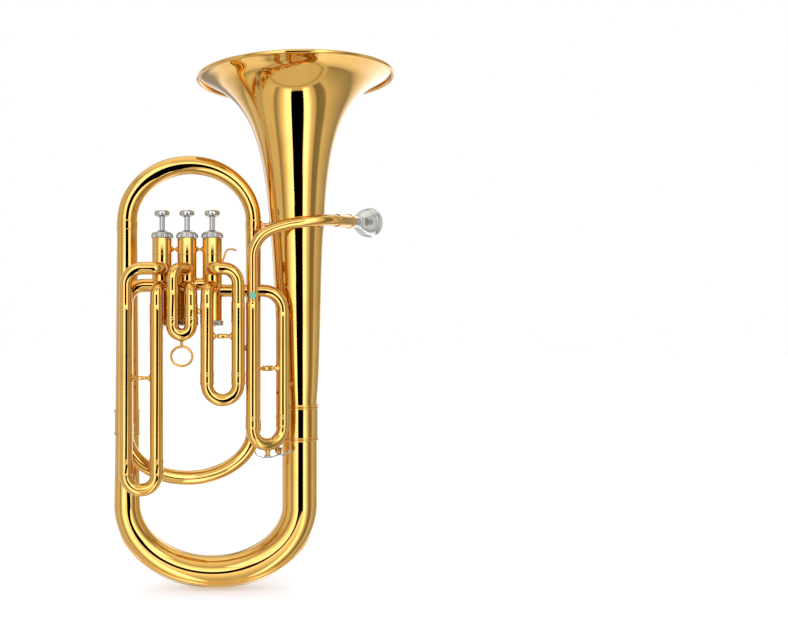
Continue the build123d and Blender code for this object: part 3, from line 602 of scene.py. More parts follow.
middle = Shape()
sweep(middle, [(MIDDLE_X, 0, z) for z in (INNER_BOW_Z, 260, 340, TOP_Z)], blend_radii((8.75, 9.0)),
      blend_radii((7.95, 8.2)), ring=80)
middle.build("middle_branch_tube", BRASS, "horn", "middle_branch")

inner_path = half_ellipse((EXIT_X, VALVE_Y), (MIDDLE_X, 0), INNER_BOW_Z, 52.0, BOW_STEPS)
inner = Shape()
sweep(inner, inner_path, blend_radii((7.75, 8.2, 8.75)), blend_radii((6.95, 7.4, 7.95)), ring=80)
inner.build("inner_bow_tube", BRASS, "horn", "inner_bow")


def casing_seat(x):
    """Upright cylinder that tubes joining the casing at x are cut to meet."""
    return (x, VALVE_Y, SEAT_R)


exit_tube = Shape()
sweep(exit_tube, bent([(VALVE_X[2] - 8, VALVE_Y, EXIT_Z), (EXIT_X, VALVE_Y, EXIT_Z),
                       (EXIT_X, VALVE_Y, INNER_BOW_Z)], 20),
      OUTER_R, BORE_R, ring=80, saddles=(casing_seat(VALVE_X[2]), None))
exit_tube.build("exit_branch_tube", BRASS, "horn", "exit_branch")

collar = Shape()
ferrule(collar, BOW_LEFT_X, 0, 415.5, 427.0, 12.05, 12.45, bead=0.5, grooves=False)
ferrule(collar, MIDDLE_X, 0, 415.5, 427.0, 8.95, 9.45, bead=0.45, grooves=False)
collar.build("top_bow_joints", BRASS, "horn", "top_bow_ferrules")

collar = Shape()
ferrule(collar, EXIT_X, VALVE_Y, INNER_BOW_Z, 195.0, OUTER_R, 8.25, bead=0.6, grooves=False)
ferrule(collar, MIDDLE_X, 0, INNER_BOW_Z, 195.0, 8.8, 9.4, bead=0.6, grooves=False)
collar.build("inner_bow_joints", BRASS, "horn", "inner_bow_ferrules")


# ------------------------------------------------------------------ bow guard
def guard():
    """Crescent plate wrapped round the outside of the bottom bow."""
    made = Shape()
    path = half_ellipse(BOW_A, BOW_B, BOW_Z, BOW_DROP, 160)
    axes = frames(path)
    ways = lengths(path)
    centre = Vector(((BOW_A[0] + BOW_B[0]) / 2, 0, BOW_Z))
    forward = Vector((0, -1, 0))
    low, high = 16, 144
    across = 28
    outer_rows, inner_rows = [], []
    for i in range(low, high + 1):
        t = (i - low) / (high - low)
        spread_angle = math.radians(118) * math.sin(math.pi * t) ** 0.55 + 0.004
        tangent = axes[i][0]
        out = (path[i] - centre)
        out = Vector((out.x / 1.3, 0, out.z))
        out = (out - tangent * out.dot(tangent)).normalized()
        base = blend_radii(BOW_RADII)(ways[i])
        for rows, extra in ((outer_rows, 1.15), (inner_rows, 0.02)):
            row = []
            for k in range(across + 1):
                a = spread_angle * (k / across - 0.5)
                taper = min(1.0, 5.0 * math.sin(math.pi * t) + 0.05)
                edge = taper - 0.55 * taper * abs(2 * k / across - 1) ** 24
                radius = base + (extra * edge if extra > 0.5 else extra)
                row.append(path[i] + out * (radius * math.cos(a)) + forward * (radius * math.sin(a)))
            rows.append(row)
    grid_shell(made, outer_rows, inner_rows)
    return made


guard().build("bow_guard_plate", BRASS, "horn", "bow_guard", sharp=60)


# ------------------------------------------------------------------ valve section
def solder_ring(shape, x, z, heading, tube_r=INNER_R, bead=0.55):
    """Fine bead of solder where a tube meets a casing."""
    path = []
    for k in range(73):
        a = math.tau * k / 72
        u, v = tube_r * math.cos(a), tube_r * math.sin(a)
        depth = math.sqrt(CASING_R ** 2 - u * u)
        if heading == "front":
            path.append(Vector((x + u, VALVE_Y - depth, z + v)))
        else:
            path.append(Vector((x + heading * depth, VALVE_Y + u, z + v)))
    sweep(shape, path, bead, ring=8)


SIDE_PORTS = ((ENTRY_Z, LINK_Z), (LINK_Z, LINK_Z), (LINK_Z, EXIT_Z))
for number, (x, (right_z, left_z)) in enumerate(zip(VALVE_X, SIDE_PORTS), 1):
    casing = Shape()
    lathe(casing, soft_profile([(10.3, 307.0), (CASING_R, 307.0), (CASING_R, 408.0), (10.3, 408.0)],
                               0.15),
          (x, VALVE_Y, 0), ring=112)
    # the two parts of a casing meet in a fine turned band
    lathe(casing, soft_profile([(11.15, 384.6), (11.5, 384.9), (11.5, 385.7), (11.15, 386.0)], 0.2),
          (x, VALVE_Y, 0), ring=96)
    for z in (UPPER_PORT_Z, LOWER_PORT_Z):
        solder_ring(casing, x, z, "front")
    solder_ring(casing, x, right_z, 1)
    solder_ring(casing, x, left_z, -1, 7.55 if number == 3 else INNER_R)
    casing.build(f"valve_casing_tube_{number}", BRASS, "horn", f"valve_casing_{number}")

links = Shape()
balusters = Shape()
for a, b in ((0, 1), (1, 2)):
    sweep(links, [(VALVE_X[a] - 5, VALVE_Y, LINK_Z), (VALVE_X[b] + 5, VALVE_Y, LINK_Z)], INNER_R, BORE_R,
          saddles=(casing_seat(VALVE_X[a]), casing_seat(VALVE_X[b])), ring=64)
    mid = (VALVE_X[a] + VALVE_X[b]) / 2
    half = (VALVE_X[a] - VALVE_X[b]) / 2 - CASING_R + 0.25
    turned = [(0, -half), (3.6, -half), (3.5, -half + 0.5), (1.5, -1.1), (1.25, -0.6), (1.7, -0.45),
              (1.85, 0), (1.7, 0.45), (1.25, 0.6), (1.5, 1.1), (3.5, half - 0.5), (3.6, half), (0, half)]
    lathe(balusters, turned, (mid, VALVE_Y, 391.4), (1, 0, 0), ring=40)
links.build("intervalve_links", BRASS, "horn", "intervalve_tubes")
balusters.build("casing_baluster_braces", BRASS, "horn", "casing_balusters")

tops = Shape()
bottoms = Shape()
for x in VALVE_X:
    crown = [(3.45, 412.6), (4.9, 412.65), (5.5, 412.1), (6.2, 411.5), (7.6, 410.9), (9.2, 410.45),
             (10.4, 410.2), (11.4, 409.6), (12.0, 408.6), (12.0, 408.2), (11.6, 407.9), (12.35, 407.5),
             (12.5, 406.9), (12.5, 405.0), (12.35, 404.2), (11.7, 403.6), (11.25, 403.3), (11.2, 403.6),
             (11.2, 408.0), (3.45, 408.0)]
    lathe(tops, soft_profile(crown, 0.25, 3), (x, VALVE_Y, 0), ring=288, knurl=(404.1, 407.6, 36, 0.55))
    foot = [(1.5, 304.3), (4.0, 304.3), (4.6, 304.5), (5.0, 305.0), (9.0, 305.0), (11.2, 305.3),
            (12.2, 305.9), (12.45, 306.5), (12.45, 310.2), (12.2, 310.9), (11.6, 311.2), (11.5, 311.7),
            (11.2, 311.7), (11.2, 307.0), (1.5, 307.0)]
    lathe(bottoms, soft_profile(foot, 0.25, 3), (x, VALVE_Y, 0), ring=288, knurl=(306.2, 310.5, 36, 0.5))
tops.build("valve_top_caps_knurled", NICKEL, "horn", "valve_top_caps", sharp=50)
bottoms.build("valve_bottom_caps_knurled", NICKEL, "horn", "valve_bottom_caps", sharp=50)

for number, x in enumerate(VALVE_X, 1):
    rod = Shape()
    lathe(rod, soft_profile([(0, 395), (6.5, 395), (6.5, 398), (3.15, 398.2), (3.15, 424.0),
                             (3.15, 430.4), (0, 430.4)], 0.25), (x, VALVE_Y, 0), ring=64)
    rod.build(f"valve_stem_rod_{number}", NICKEL, f"valve_{number}", f"valve_stem_{number}")
    cap = Shape()
    button = [(0, 433.9), (4.6, 433.9), (5.6, 434.15), (6.0, 434.7), (6.6, 434.88), (7.3, 434.8),
              (8.2, 434.0), (8.75, 432.8), (8.9, 431.6), (8.75, 430.4), (8.2, 429.4), (7.2, 428.9),
              (5.6, 428.6), (4.7, 428.0), (4.3, 427.3), (3.2, 427.2), (3.2, 430.5), (0, 430.5)]
    lathe(cap, soft_profile(button, 0.35, 4), (x, VALVE_Y, 0), ring=112)
    cap.build(f"finger_button_turned_{number}", NICKEL, f"valve_{number}", f"finger_button_{number}",
              sharp=60)


# ------------------------------------------------------------------ crooks
def crook_pair(number, x, upper, upper_bend, lower_leg, lower_top):
    pair = Shape()
    hug = (casing_seat(x), None)
    start = VALVE_Y - 7
    sweep(pair, bent([(x, start, UPPER_PORT_Z), *upper], upper_bend, 4), INNER_R, BORE_R, saddles=hug)
    sweep(pair, bent([(x, start, LOWER_PORT_Z), (lower_leg, SLIDE_Y, LOWER_PORT_Z),
                      (lower_leg, SLIDE_Y, lower_top - SOCKET)], 10, 4), INNER_R, BORE_R, saddles=hug)
    pair.build(f"valve_crook_tubes_{number}", BRASS, "horn", f"valve_crooks_{number}")


FIRST_X = (-52.1, -17.8)
SECOND_X = (-90.3, -69.9)
THIRD_X = (-141.8, -107.8)
crook_pair(1, VALVE_X[0], [(VALVE_X[0], SLIDE_Y, UPPER_PORT_Z), (FIRST_X[1], SLIDE_Y, UPPER_PORT_Z),
                           (FIRST_X[1], SLIDE_Y, 325.7)], (9.5, 17), FIRST_X[0], 331.7)
crook_pair(2, VALVE_X[1], [(SECOND_X[0], SLIDE_Y, UPPER_PORT_Z), (SECOND_X[0], SLIDE_Y, 340.0)], 12,
           SECOND_X[1], 329.5)
crook_pair(3, VALVE_X[2], [(VALVE_X[2], SLIDE_Y, UPPER_PORT_Z), (THIRD_X[0], SLIDE_Y, UPPER_PORT_Z),
                           (THIRD_X[0], SLIDE_Y, 324.0)], (9.5, 19), THIRD_X[1], 330.0)

entry = Shape()
sweep(entry, bent([(VALVE_X[0] + 8, VALVE_Y, ENTRY_Z), (TUNING_B[0], VALVE_Y, ENTRY_Z),
                   (TUNING_B[0], VALVE_Y, 316.3)], 22.4, 4), INNER_R, BORE_R,
      saddles=(casing_seat(VALVE_X[0]), None))
entry.build("entry_crook_tube", BRASS, "horn", "entry_crook")

# ------------------------------------------------------------------ slides
# legs, top of each outer tube, lower end of the outer tubes, height where the bow begins
SLIDES = {
    "first": ([(x, SLIDE_Y) for x in FIRST_X], (331.7, 331.7), 251.9, 240.5),
    "second": ([(x, SLIDE_Y) for x in SECOND_X], (346.0, 329.5), 313.3, 305.6),
    "third": ([(x, SLIDE_Y) for x in THIRD_X], (330.0, 330.0), 156.2, 141.0),
    "tuning": ([TUNING_A, TUNING_B], (331.0, 322.3), 203.0, 191.5),
}
for name, (legs, tops_z, end, bow_z) in SLIDES.items():
    joint = (end + bow_z) / 2
    outer, inside_tubes, bow_piece = Shape(), Shape(), Shape()
    for (x, y), top_z in zip(legs, tops_z):
        sleeve = [(7.15, end), (7.95, end), (8.05, end + 0.5), (8.05, end + 1.6), (7.8, end + 2.1),
                  (OUTER_R, end + 2.3), (OUTER_R, top_z - 7.2), (7.75, top_z - 6.9), (7.75, top_z - 6.1),
                  (OUTER_R, top_z - 5.8), (OUTER_R, top_z - 0.2), (7.35, top_z), (7.1, top_z),
                  (7.1, top_z - SOCKET), (7.15, top_z - SOCKET)]
        lathe(outer, sleeve, (x, y, 0), ring=80)
        lathe(inside_tubes, soft_profile([(BORE_R, joint), (INNER_R, joint),
                                          (INNER_R, top_z - SOCKET - 1), (BORE_R, top_z - SOCKET - 1)],
                                         0.1), (x, y, 0), ring=80)
        rim = FERRULE_R
        cuff = [(INNER_R, bow_z - 0.6), (7.5, bow_z - 0.5), (7.75, bow_z), (rim - 0.05, bow_z + 0.5),
                (rim, bow_z + 1.0), (rim - 0.05, bow_z + 1.6), (7.8, bow_z + 2.0), (7.75, bow_z + 2.4),
                (7.75, end - 2.8), (7.8, end - 2.4),
                (rim - 0.05, end - 2.0), (rim, end - 1.3), (rim - 0.1, end - 0.5), (7.85, end - 0.3),
                (INNER_R, end - 0.3)]
        lathe(bow_piece, cuff, (x, y, 0), ring=80)
    a, b = legs
    half = (Vector(a) - Vector(b)).length / 2
    path = [Vector((*a, joint)), *half_ellipse(a, b, bow_z, half, 48), Vector((*b, joint))]
    sweep(bow_piece, path, INNER_R, BORE_R, ring=80)
    outer.build(f"{name}_outer_tubes", BRASS, "horn", f"{name}_slide_outer_tubes")
    inside_tubes.build(f"{name}_inner_tubes", CUPRO, f"{name}_slide", f"{name}_slide_inner_tubes")
    bow_piece.build(f"{name}_bow_and_cuffs", BRASS, f"{name}_slide", f"{name}_slide_bow")

SECOND_LOW = 305.6 - 10.2 - INNER_R
PULL_X = -80.1
RING_Z = SECOND_LOW - 4.5 - 12.2
loop = [Vector((PULL_X + 11.7 * math.cos(a), SLIDE_Y, RING_Z + 10.7 * math.sin(a)))
        for a in turn_angles(64)]


def closed_loop(shape, points, radius, ring=24):
    """Endless round wire through a closed loop of points in a plane of constant Y."""
    centre = sum(points, Vector()) / len(points)
    verts = []
    for p in points:
        out = (p - centre).normalized()
        for a in turn_angles(ring):
            verts.append(p + out * (radius * math.cos(a)) + Vector((0, radius * math.sin(a), 0)))
    faces = ring_faces(len(points), ring, closed_rows=True)
    shape.add(verts, faces)


pull = Shape()
closed_loop(pull, loop, 1.5)
lathe(pull, [(0, RING_Z + 10.4), (1.3, RING_Z + 10.9), (1.5, RING_Z + 12.2), (1.9, RING_Z + 13.2),
             (2.0, RING_Z + 14.2), (1.4, RING_Z + 14.8), (1.5, SECOND_LOW - 1.2), (2.6, SECOND_LOW - 0.3),
             (3.4, SECOND_LOW + 0.5), (0, SECOND_LOW + 0.6)], (PULL_X, SLIDE_Y, 0), ring=40)
pull.build("second_slide_pull_ring", BRASS, "second_slide", "pull_ring", sharp=50)

# ------------------------------------------------------------------ water key
KEY_X = Vector((34, 17, 0)).normalized()
KEY_MID = Vector((15.1, -41.5, 0))
KEY_ACROSS = Vector((KEY_X.y, -KEY_X.x, 0))


def key_point(u, z, across=0.0):
    return KEY_MID + KEY_X * u + KEY_ACROSS * across + Vector((0, 0, z))


PIVOT_U, PIVOT_Z = 13.3, 163.0
PIVOT = key_point(PIVOT_U, PIVOT_Z)
saddle = Shape()
lathe(saddle, soft_profile([(1.9, 160.8), (2.5, 160.8), (2.7, 161.1), (2.7, 163.6), (3.2, 163.9),
                            (3.3, 164.6), (3.0, 165.0), (3.3, 166.0), (3.6, 166.8), (1.9, 166.8)], 0.2),
      key_point(0, 0), ring=48)


def plate(shape, corners, across, thickness):
    """Flat plate from an outline of (u, z) in the plane of the tuning bow."""
    count = len(corners)
    verts = [key_point(u, z, across - thickness / 2) for u, z in corners]
    verts += [key_point(u, z, across + thickness / 2) for u, z in corners]
    faces = [tuple(reversed(range(count))), tuple(range(count, 2 * count))]
    for i in range(count):
        j = (i + 1) % count
        faces.append((i, j, count + j, count + i))
    shape.add(verts, faces)


EAR_R = 2.2
ear = [(PIVOT_U + EAR_R * math.cos(a), PIVOT_Z + EAR_R * math.sin(a))
       for a in [math.pi + math.pi * k / 16 for k in range(17)]] + [(16.2, 168.4), (10.2, 169.6)]
for across in (-3.2, 3.2):
    plate(saddle, ear, across, 1.2)
lathe(saddle, soft_profile([(0, -4.6), (1.7, -4.6), (1.7, -3.8), (1.0, -3.8), (1.0, 3.8), (1.7, 3.8),
                            (1.7, 4.6), (0, 4.6)],
                           0.2), PIVOT, KEY_ACROSS, ring=32)
saddle.build("water_key_saddle_and_nipple", BRASS, "tuning_slide", "water_key_saddle")

lever = Shape()
line = smooth_curve([key_point(u, z) for u, z in ((-15.5, 166.0), (-13.5, 161.5), (-7, 158.9), (0, 157.9),
                                                  (7.5, 158.6), (13.3, 160.2), (21, 159.6),
                                                  (29.5, 164.4))],
                    Vector((0, 0, -1)), KEY_X + Vector((0, 0, 0.7)), 10)


def strip(shape, points, width, thickness, across, tips=1.0):
    """Flat strip with rounded edges along points; across is the direction of its width."""
    ways = lengths(points)
    axes = frames(points)
    verts, ring = [], 16
    for point, way, (tangent, _, _) in zip(points, ways, axes):
        up = tangent.cross(across).normalized()
        swell = width * (1 + (tips - 1) * max(0.0, (way - 0.8) / 0.2))
        for a in turn_angles(ring):
            c, s = math.cos(a), math.sin(a)
            c = math.copysign(abs(c) ** 0.45, c)
            s = math.copysign(abs(s) ** 0.7, s)
            verts.append(point + across * (swell / 2 * c) + up * (thickness / 2 * s))
    shape.add(verts, capped(len(points), ring))


strip(lever, line, 3.2, 1.15, KEY_ACROSS, tips=1.05)
lathe(lever, soft_profile([(1.1, -2.2), (2.4, -2.2), (2.4, 2.2), (1.1, 2.2)], 0.3), PIVOT, KEY_ACROSS,
      ring=48)
lathe(lever, soft_profile([(0, 158.0), (3.4, 158.1), (4.0, 158.5), (4.0, 159.6), (3.75, 159.6),
                           (3.75, 159.1), (0, 159.05)], 0.15), key_point(0, 0), ring=56)
lever.build("water_key_lever_arm", NICKEL, "water_key", "water_key_lever", sharp=50)

pad = Shape()
lathe(pad, soft_profile([(0, 159.06), (3.65, 159.06), (3.65, 160.7), (0, 160.7)], 0.3), key_point(0, 0),
      ring=48)
pad.build("water_key_cork_pad", CORK, "water_key", "water_key_cork")

# ------------------------------------------------------------------ leadpipe, receiver, mouthpiece
LEADPIPE_R = 6.25
RECEIVER_AT = Vector((92.9, -26.0, 424.7))
RECEIVER_DIR = Vector((0.545, 0.838, 0.05)).normalized()
lead = Shape()
lead_path = [Vector((*TUNING_A, z)) for z in (325.0, 345, 365)]
lead_path += smooth_curve([(*TUNING_A, 383), (4.3, -50, 400.5), (15.4, -49.2, 410.6),
                           (37.7, -46.6, 418.4), (62.4, -43, 422.3), (79.7, -37, 424.0), RECEIVER_AT],
                           (0, 0, 1), RECEIVER_DIR, 14)
lead_path.append(RECEIVER_AT + RECEIVER_DIR * 10)
sweep(lead, lead_path, LEADPIPE_R, LEADPIPE_R - 0.5, ring=72)
lathe(lead, soft_profile([(5.9, 325), (7.1, 325), (7.1, 331.2), (7.0, 332.0), (6.4, 332.8), (5.9, 332.8)],
                         0.2),
      (*TUNING_A, 0), ring=72)
lead.build("leadpipe_tube", BRASS, "horn", "leadpipe")

receiver = Shape()
lathe(receiver, soft_profile([(6.25, 0), (6.9, 0), (7.45, 1.2), (7.45, 28.5), (7.6, 29.2), (8.2, 30.0),
                              (8.35, 31.0), (8.35, 35.2), (8.1, 36.0), (6.6, 36.0), (6.2, 12.0),
                              (5.75, 12.0), (5.75, 10.0), (6.25, 10.0)], 0.25),
      RECEIVER_AT, RECEIVER_DIR, ring=80)
receiver.build("mouthpiece_receiver_tube", BRASS, "horn", "mouthpiece_receiver")

mouth = Shape()
MOUTH_AT = RECEIVER_AT + RECEIVER_DIR * 36
outer_line = smooth_curve([(6.54, 0, 0.2), (6.9, 0, 9), (7.7, 0, 18), (11.2, 0, 26), (15.2, 0, 36),
                           (16.4, 0, 44), (17.9, 0, 49.3)], (0.02, 0, 1), (0.3, 0, 1), 8)
rim_line = [(15.4 + 2.5 * math.cos(a), 49.3 + 2.35 * math.sin(a)) for a in
            [math.pi * k / 18 for k in range(19)]]
cup_line = smooth_curve([(12.9, 0, 49.0), (12.2, 0, 44), (10.6, 0, 37), (6.6, 0, 30), (3.2, 0, 26)],
                        (0, 0, -1), (-0.5, 0, -1), 8)
mouth_profile = ([(4.8, -22), (6.14, -22)] + [(p.x, p.z) for p in outer_line] + rim_line
                 + [(p.x, p.z) for p in cup_line])
lathe(mouth, mouth_profile, MOUTH_AT, RECEIVER_DIR, ring=128)
for h, r in ((14.5, 7.35), (40.0, 16.0)):
    lathe(mouth, soft_profile([(r - 0.6, h - 0.7), (r + 0.25, h - 0.7), (r + 0.45, h),
                               (r + 0.25, h + 0.7), (r - 0.6, h + 0.7)], 0.2),
          MOUTH_AT, RECEIVER_DIR, ring=96)
mouth.build("mouthpiece_turned", SILVER, "mouthpiece", "mouthpiece", sharp=45)


# ------------------------------------------------------------------ braces and stays
def diamond_foot(shape, at, heading, radius, wide, tall, thick=0.9):
    """Diamond flange curved to sit on an upright tube."""
    heading = Vector(heading).normalized()
    side = Vector((0, 0, 1)).cross(heading).normalized()
    at = Vector(at)
    grid = 12
    rows = []
    for lift in (0.0, thick):
        layer = []
        for i in range(grid + 1):
            v = -tall + 2 * tall * i / grid
            limit = wide * (1 - abs(v) / tall) ** 0.8 + 0.55
            row = []
            for j in range(grid + 1):
                u = limit * (2 * j / grid - 1)
                arc = u / radius
                edge = 1.0 if lift == 0 else 1 - 0.45 * max(abs(2 * j / grid - 1) ** 6,
                                                            abs(v / tall) ** 8)
                r = radius + lift * edge
                row.append(at + heading * (r * math.cos(arc)) + side * (r * math.sin(arc))
                           + Vector((0, 0, v)))
            layer.append(row)
        rows.append(layer)
    grid_shell(shape, rows[1], rows[0])


def brace(shape, a, b, z, rod, feet, barrel=0.0):
    """Turned rod between two upright tubes, each given as (x, y, radius), on diamond feet."""
    start, end = Vector((a[0], a[1], z)), Vector((b[0], b[1], z))
    way = end - start
    heading = way.normalized()
    low, high = a[2] + 0.2, way.length - b[2] - 0.2
    mid = (low + high) / 2
    neck = min(3.0, (high - low) * 0.25)
    profile = [(0, low), (rod + 1.9, low), (rod + 1.7, low + 0.9), (rod + 0.5, low + neck * 0.6),
               (rod, low + neck)]
    if barrel:
        # spindle with a ring at each end
        half = [(rod, 6.2), (rod + 0.25, 5.9), (barrel - 0.1, 5.6), (barrel + 0.1, 5.1),
                (barrel - 0.1, 4.6), (barrel - 0.55, 4.2), (barrel - 0.15, 3.0), (barrel + 0.1, 1.5)]
        profile += [(r, mid - h) for r, h in half] + [(barrel + 0.15, mid)]
        profile += [(r, mid + h) for r, h in half[::-1]]
    profile += [(rod, high - neck), (rod + 0.5, high - neck * 0.6), (rod + 1.7, high - 0.9),
                (rod + 1.9, high), (0, high)]
    lathe(shape, profile, start, heading, ring=40)
    if feet:
        diamond_foot(shape, start, heading, a[2] - 0.02, *feet)
        diamond_foot(shape, end, -heading, b[2] - 0.02, *feet)


def leg(name, index):
    return (*SLIDES[name][0][index], OUTER_R)


slide_braces = Shape()
brace(slide_braces, leg("first", 0), leg("first", 1), 293.9, 1.7, (3.6, 4.4), barrel=2.7)
brace(slide_braces, leg("third", 0), leg("third", 1), 247.7, 1.5, (3.4, 4.2), barrel=2.2)
brace(slide_braces, leg("tuning", 0), leg("tuning", 1), 257.7, 2.0, (3.8, 4.8), barrel=3.3)
slide_braces.build("slide_brace_set", BRASS, "horn", "slide_braces")

stays = Shape()
brace(stays, leg("first", 1), (*TUNING_A, OUTER_R), 280.8, 1.5, None)
brace(stays, leg("second", 1), leg("first", 0), 321.2, 1.5, None)
brace(stays, leg("third", 0), (EXIT_X, VALVE_Y, 7.55), 300.0, 1.7, (2.8, 3.6))
brace(stays, (EXIT_X, VALVE_Y, 7.55), (BOW_LEFT_X, 0, 13.45), 280.0, 2.0, (3.4, 4.2))
brace(stays, (*TUNING_B, OUTER_R), (52.4, 0, 22.7), 238.5, 2.0, (3.4, 4.2))
brace(stays, (*TUNING_A, OUTER_R), (MIDDLE_X, 0, 8.8), 225.0, 2.0, (3.4, 4.2))
stays.build("small_stay_set", BRASS, "horn", "small_stays")

bell_stay = Shape()
BELL_STAY_Z = 422.3
bell_x = BELL_FOOT.x + (BELL_STAY_Z - BELL_FOOT.z) * BELL_AXIS.x / BELL_AXIS.z
brace(bell_stay, (MIDDLE_X, 0, 9.0), (bell_x, 0, 32.0), BELL_STAY_Z, 1.9, (3.8, 4.8))
bell_stay.build("bell_brace_rod", BRASS, "horn", "bell_brace")

hook = Shape()
hook_path = smooth_curve([(VALVE_X[0] + 10.8, -36, 374), (VALVE_X[0] + 13.6, -37, 383), (-30.5, -38, 390),
                          (-25.5, -38.5, 391.3), (-19.9, -38.5, 389.5)], (0.2, 0, 1), (1, 0, -0.35), 12)
HOOK_R, TIP_START = 1.1, 0.93


def hook_radius(way):
    """Round wire with a rounded tip."""
    if way < TIP_START:
        return HOOK_R
    return HOOK_R * math.sqrt(max(0.05, 1 - ((way - TIP_START) / 0.07) ** 2))


sweep(hook, hook_path, hook_radius, ring=24)
diamond_foot(hook, (VALVE_X[0], VALVE_Y, 375.0), (1, -0.22, 0), CASING_R - 0.02, 2.4, 4.6, 0.8)
hook.build("finger_hook_wire", BRASS, "horn", "finger_hook")

dot = Shape()
DOT_Z, DOT_R, DOT_RING, DOT_ROWS = 339.0, 4.0, 40, 7


def dot_ring(r, pipe_r):
    """Circle of radius r laid on the front of the leadpipe."""
    return [Vector((TUNING_A[0] + r * math.cos(a),
                    TUNING_A[1] - math.sqrt(pipe_r ** 2 - (r * math.cos(a)) ** 2),
                    DOT_Z + r * math.sin(a))) for a in turn_angles(DOT_RING)]


verts = dot_ring(DOT_R, LEADPIPE_R)
for i in range(DOT_ROWS):
    way = i / (DOT_ROWS - 1)
    lift = 0.28 * math.sin(math.pi / 2 * i / (DOT_ROWS - 1))
    verts += dot_ring(DOT_R * math.sqrt(max(0.0, 1 - way ** 2)), LEADPIPE_R + 0.1 + lift)
faces = ring_faces(DOT_ROWS + 1, DOT_RING)
faces.append(tuple(reversed(range(DOT_RING))))
dot.add(verts, faces)
dot.build("inspection_dot_marker", GREEN, "horn", "inspection_dot")

# ------------------------------------------------------------------ valve springs
# each stands on its bottom cap, so it stays with the horn when its piston moves
SPRING_R, WIRE_R = 7.6, 0.55
SPRING_LOW, SPRING_HIGH = 307.65, 335.35
TURNS, STEPS = 6.5, 40
for number, x in enumerate(VALVE_X, 1):
    coil = Shape()
    path = []
    for k in range(int(TURNS * STEPS) + 1):
        t = k / (TURNS * STEPS)
        a = math.tau * TURNS * t
        # the end turns close up, like the ends of a real compression spring
        rise = t + 0.055 * math.sin(math.tau * t)
        path.append(Vector((x + SPRING_R * math.cos(a), VALVE_Y + SPRING_R * math.sin(a),
                            SPRING_LOW + (SPRING_HIGH - SPRING_LOW) * (t - (rise - t)))))
    sweep(coil, path, WIRE_R, ring=14)
    coil.build(f"valve_spring_coil_{number}", STEEL, "horn", f"valve_spring_{number}")

# ------------------------------------------------------------------ CAD pieces that stay
for number in (1, 2, 3):
    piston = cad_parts[f"piston_{number}"]
    piston.data.materials.clear()
    piston.data.materials.append(CUPRO)

# ------------------------------------------------------------------ stage, light and camera
def pale_floor():
    made, tree, shader, coords = new_material("pale_floor")
    tree.links.new(ramp(tree, noise(tree, coords, 3.0, 3.0),
                        [(0.3, (0.84, 0.84, 0.835)), (0.7, (0.86, 0.86, 0.86))]),
                   shader.inputs["Base Color"])
    put(shader, {"Roughness": 0.9, "Specular IOR Level": 0.1, "Emission Color": (1, 1, 1, 1),
                 "Emission Strength": 0.27})
    return made


def glow(name, strength):
    made = bpy.data.materials.new(name)
    made.use_nodes = True
    tree = made.node_tree
    tree.nodes.clear()
    light = node(tree, "ShaderNodeEmission")
    put(light, {"Strength": strength})
    out = node(tree, "ShaderNodeOutputMaterial")
    tree.links.new(light.outputs[0], out.inputs["Surface"])
    return made


def stage_mesh(name, verts, faces, material, hidden_from):
    """Piece of the studio, in metres, left out of the kinds of light named in hidden_from."""
    mesh = bpy.data.meshes.new(name)
    mesh.from_pydata(verts, [], faces)
    mesh.materials.append(material)
    obj = bpy.data.objects.new(name, mesh)
    bpy.context.scene.collection.objects.link(obj)
    for kind in hidden_from:
        setattr(obj, "visible_" + kind, False)


FLOOR_HALF = 7.5
FLOOR_Z = -0.0004
stage_mesh("floor", [(x * FLOOR_HALF, y * FLOOR_HALF, FLOOR_Z)
                     for x, y in ((-1, -1), (1, -1), (1, 1), (-1, 1))],
           [(0, 1, 2, 3)], pale_floor(), ("glossy",))

# dark runner on the floor in front of the bell, there only for the brass to reflect
RUNNER_NEAR, RUNNER_FAR, RUNNER_Z = 0.36, 7.3, -0.0002
RUNNER_X = 0.050
RUNNER_LEFT, RUNNER_RIGHT = -math.tan(math.radians(14)), math.tan(math.radians(18))
stage_mesh("runner", [(RUNNER_X + ahead * lean, -ahead, RUNNER_Z) for ahead, lean in (
    (RUNNER_NEAR, RUNNER_LEFT), (RUNNER_NEAR, RUNNER_RIGHT),
    (RUNNER_FAR, RUNNER_RIGHT), (RUNNER_FAR, RUNNER_LEFT))],
           [(0, 1, 2, 3)], glow("runner_black", 0.0), ("camera", "diffuse", "shadow"))

dome = Shape()
DOME_R = 7000
lathe(dome, [(0, -DOME_R)] + [(DOME_R * math.cos(math.radians(e)), DOME_R * math.sin(math.radians(e)))
                              for e in range(-80, 81, 10)] + [(0, DOME_R)], (0, 0, 0), ring=48)
stage_mesh("backdrop", [Vector(v) * MM for v in dome.verts], dome.faces, glow("backdrop_white", 1.0),
           ("glossy", "diffuse", "shadow", "transmission", "volume_scatter"))


def lamp(level):
    """Colour of a panel: neutral when dim, cooler and stronger where a lamp stands behind it."""
    extra = max(0.0, level - 0.45)
    return (level, level + 0.04 * extra, level + 0.55 * extra)


def at_height(degrees):
    return 0.5 + 0.5 * math.sin(math.radians(degrees))


